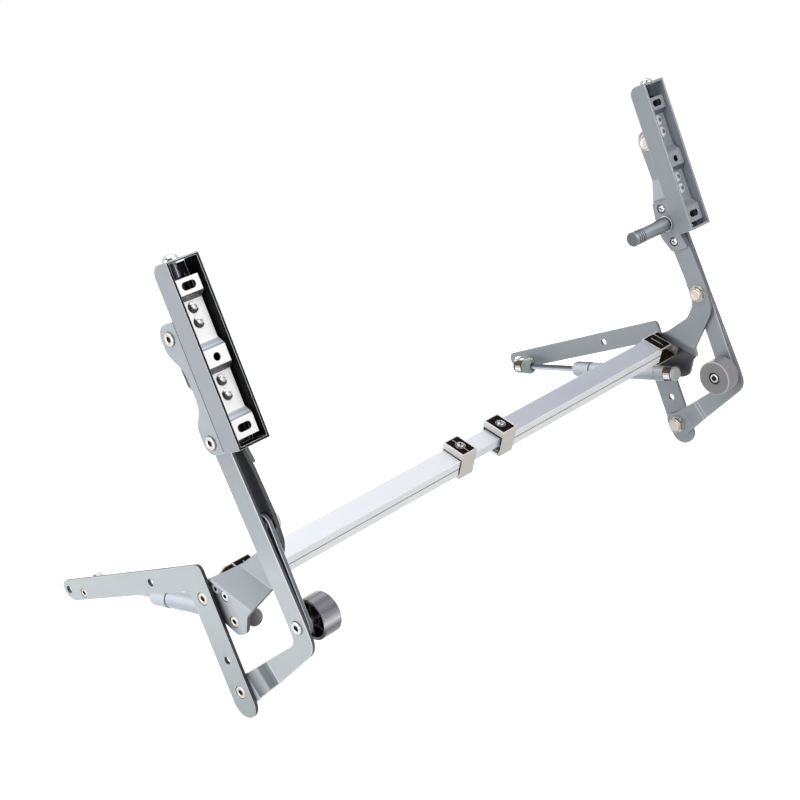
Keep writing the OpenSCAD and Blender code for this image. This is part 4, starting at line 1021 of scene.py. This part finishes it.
def floor_material():
    m = bpy.data.materials.new("floor_white")
    m.use_nodes = True
    nt = m.node_tree
    nt.nodes.clear()
    where = shader(nt, "TexCoord").outputs["Object"]
    far = shader(nt, "VectorMath", {0: where}, operation="LENGTH").outputs["Value"]
    # The glow grows to full white away from the object, so that the floor has no far edge
    grow = shader(nt, "MapRange", {"Value": far, "From Min": 0.45, "From Max": 1.6,
                                   "To Min": 0.66, "To Max": 1.0})
    # Reflections see a darker floor under the object
    under = shader(nt, "MapRange", {"Value": far, "From Min": 0.3, "From Max": 1.3,
                                    "To Min": 0.42, "To Max": 1.0})
    direct = shader(nt, "LightPath").outputs["Is Camera Ray"]
    blend = shader(nt, "Mix", {0: direct, 2: under.outputs[0], 3: grow.outputs[0]})
    level = shader(nt, "Math", {0: blend.outputs[0], 1: seen_rays(nt)}, operation="MULTIPLY")
    glow = shader(nt, "Emission", {"Strength": level.outputs[0]})
    matt = shader(nt, "BsdfPrincipled", {"Base Color": (0.66, 0.66, 0.66, 1), "Roughness": 0.9,
                                         "Specular IOR Level": 0.1})
    both = shader(nt, "AddShader", {0: matt.outputs[0], 1: glow.outputs[0]})
    shader(nt, "OutputMaterial", {"Surface": both.outputs[0]})
    return m


# With the lift down the rollers hang 59 mm below the brackets, and the floor lies under them
FLOOR_DROP = 0.061
bm = bmesh.new()
bmesh.ops.create_grid(bm, x_segments=1, y_segments=1, size=6.0)
obj = from_bmesh(bm, "floor", floor_material())
obj.location = (0, 0.28, cad_box[0].z - FLOOR_DROP)


def area_lamp(name, place, target, size, watts):
    data = bpy.data.lights.new(name, "AREA")
    data.shape = "RECTANGLE"
    data.size, data.size_y = size
    data.energy = watts
    obj = bpy.data.objects.new(name, data)
    bpy.context.scene.collection.objects.link(obj)
    obj.location = place
    obj.rotation_euler = (Vector(target) - Vector(place)).to_track_quat("-Z", "Y").to_euler()


area_lamp("key", (-0.3, -1.0, 0.2), (-0.05, 0, 0.06), (0.8, 0.8), 9.2)
area_lamp("tube", (0.2, 0.02, 0.55), (0.03, 0.2, 0.05), (0.4, 0.3), 1.2)
area_lamp("front", (1.9, 0.3, 0.2), (0, 0.25, 0.1), (1.2, 1.2), 17)
area_lamp("back", (-1.1, 1.9, 0.7), (0, 0.4, 0.1), (1.2, 1.0), 10)
area_lamp("top", (0.1, 0.3, 2.1), (0, 0.3, 0.1), (1.8, 1.8), 9)

world = bpy.data.worlds.new("studio")
bpy.context.scene.world = world
world.use_nodes = True
nt = world.node_tree
nt.nodes.clear()
# Reflections are darker towards the room behind the camera
where = shader(nt, "TexCoord").outputs["Generated"]
facing = shader(nt, "VectorMath", {0: where, 1: (0.42, -0.90, 0.05)}, operation="DOT_PRODUCT")
room = shader(nt, "MapRange", {"Value": facing.outputs["Value"], "From Min": 0.15, "From Max": 0.8,
                               "To Min": 1.0, "To Max": 0.16}, interpolation_type="SMOOTHSTEP")
direct = shader(nt, "LightPath").outputs["Is Camera Ray"]
level = shader(nt, "Math", {0: direct, 1: room.outputs[0]}, operation="MAXIMUM")
seen = shader(nt, "Background", {"Color": (1, 1, 1, 1), "Strength": level.outputs[0]})
soft = shader(nt, "Background", {"Color": (1, 1, 1, 1), "Strength": 0.27})
mix = shader(nt, "MixShader", {0: seen_rays(nt), 1: soft.outputs[0], 2: seen.outputs[0]})
shader(nt, "OutputWorld", {"Surface": mix.outputs[0]})

# The camera's place and directions were fitted to the photograph's outlines
camera = bpy.data.objects.new("camera", bpy.data.cameras.new("camera"))
bpy.context.scene.collection.objects.link(camera)
bpy.context.scene.camera = camera
RIGHT = Vector((0.66498783, 0.66334784, -0.34316298))
DOWN = Vector((-0.10497667, -0.37189761, -0.92231886))
AHEAD = Vector((-0.73943971, 0.64935492, -0.17767133))
camera.matrix_world = Matrix((
    (RIGHT.x, -DOWN.x, -AHEAD.x, 1.010294),
    (RIGHT.y, -DOWN.y, -AHEAD.y, -0.629950),
    (RIGHT.z, -DOWN.z, -AHEAD.z, 0.283549),
    (0, 0, 0, 1)))
camera.data.sensor_width = 36
camera.data.lens = 1663.72 / 800 * 36
camera.data.shift_x = (400 - 443.107) / 800
camera.data.shift_y = (476.890 - 400) / 800
camera.data.clip_start, camera.data.clip_end = 0.01, 50
camera.data.dof.use_dof = False

bpy.context.scene.view_settings.view_transform = "Standard"

bpy.context.view_layer.update()
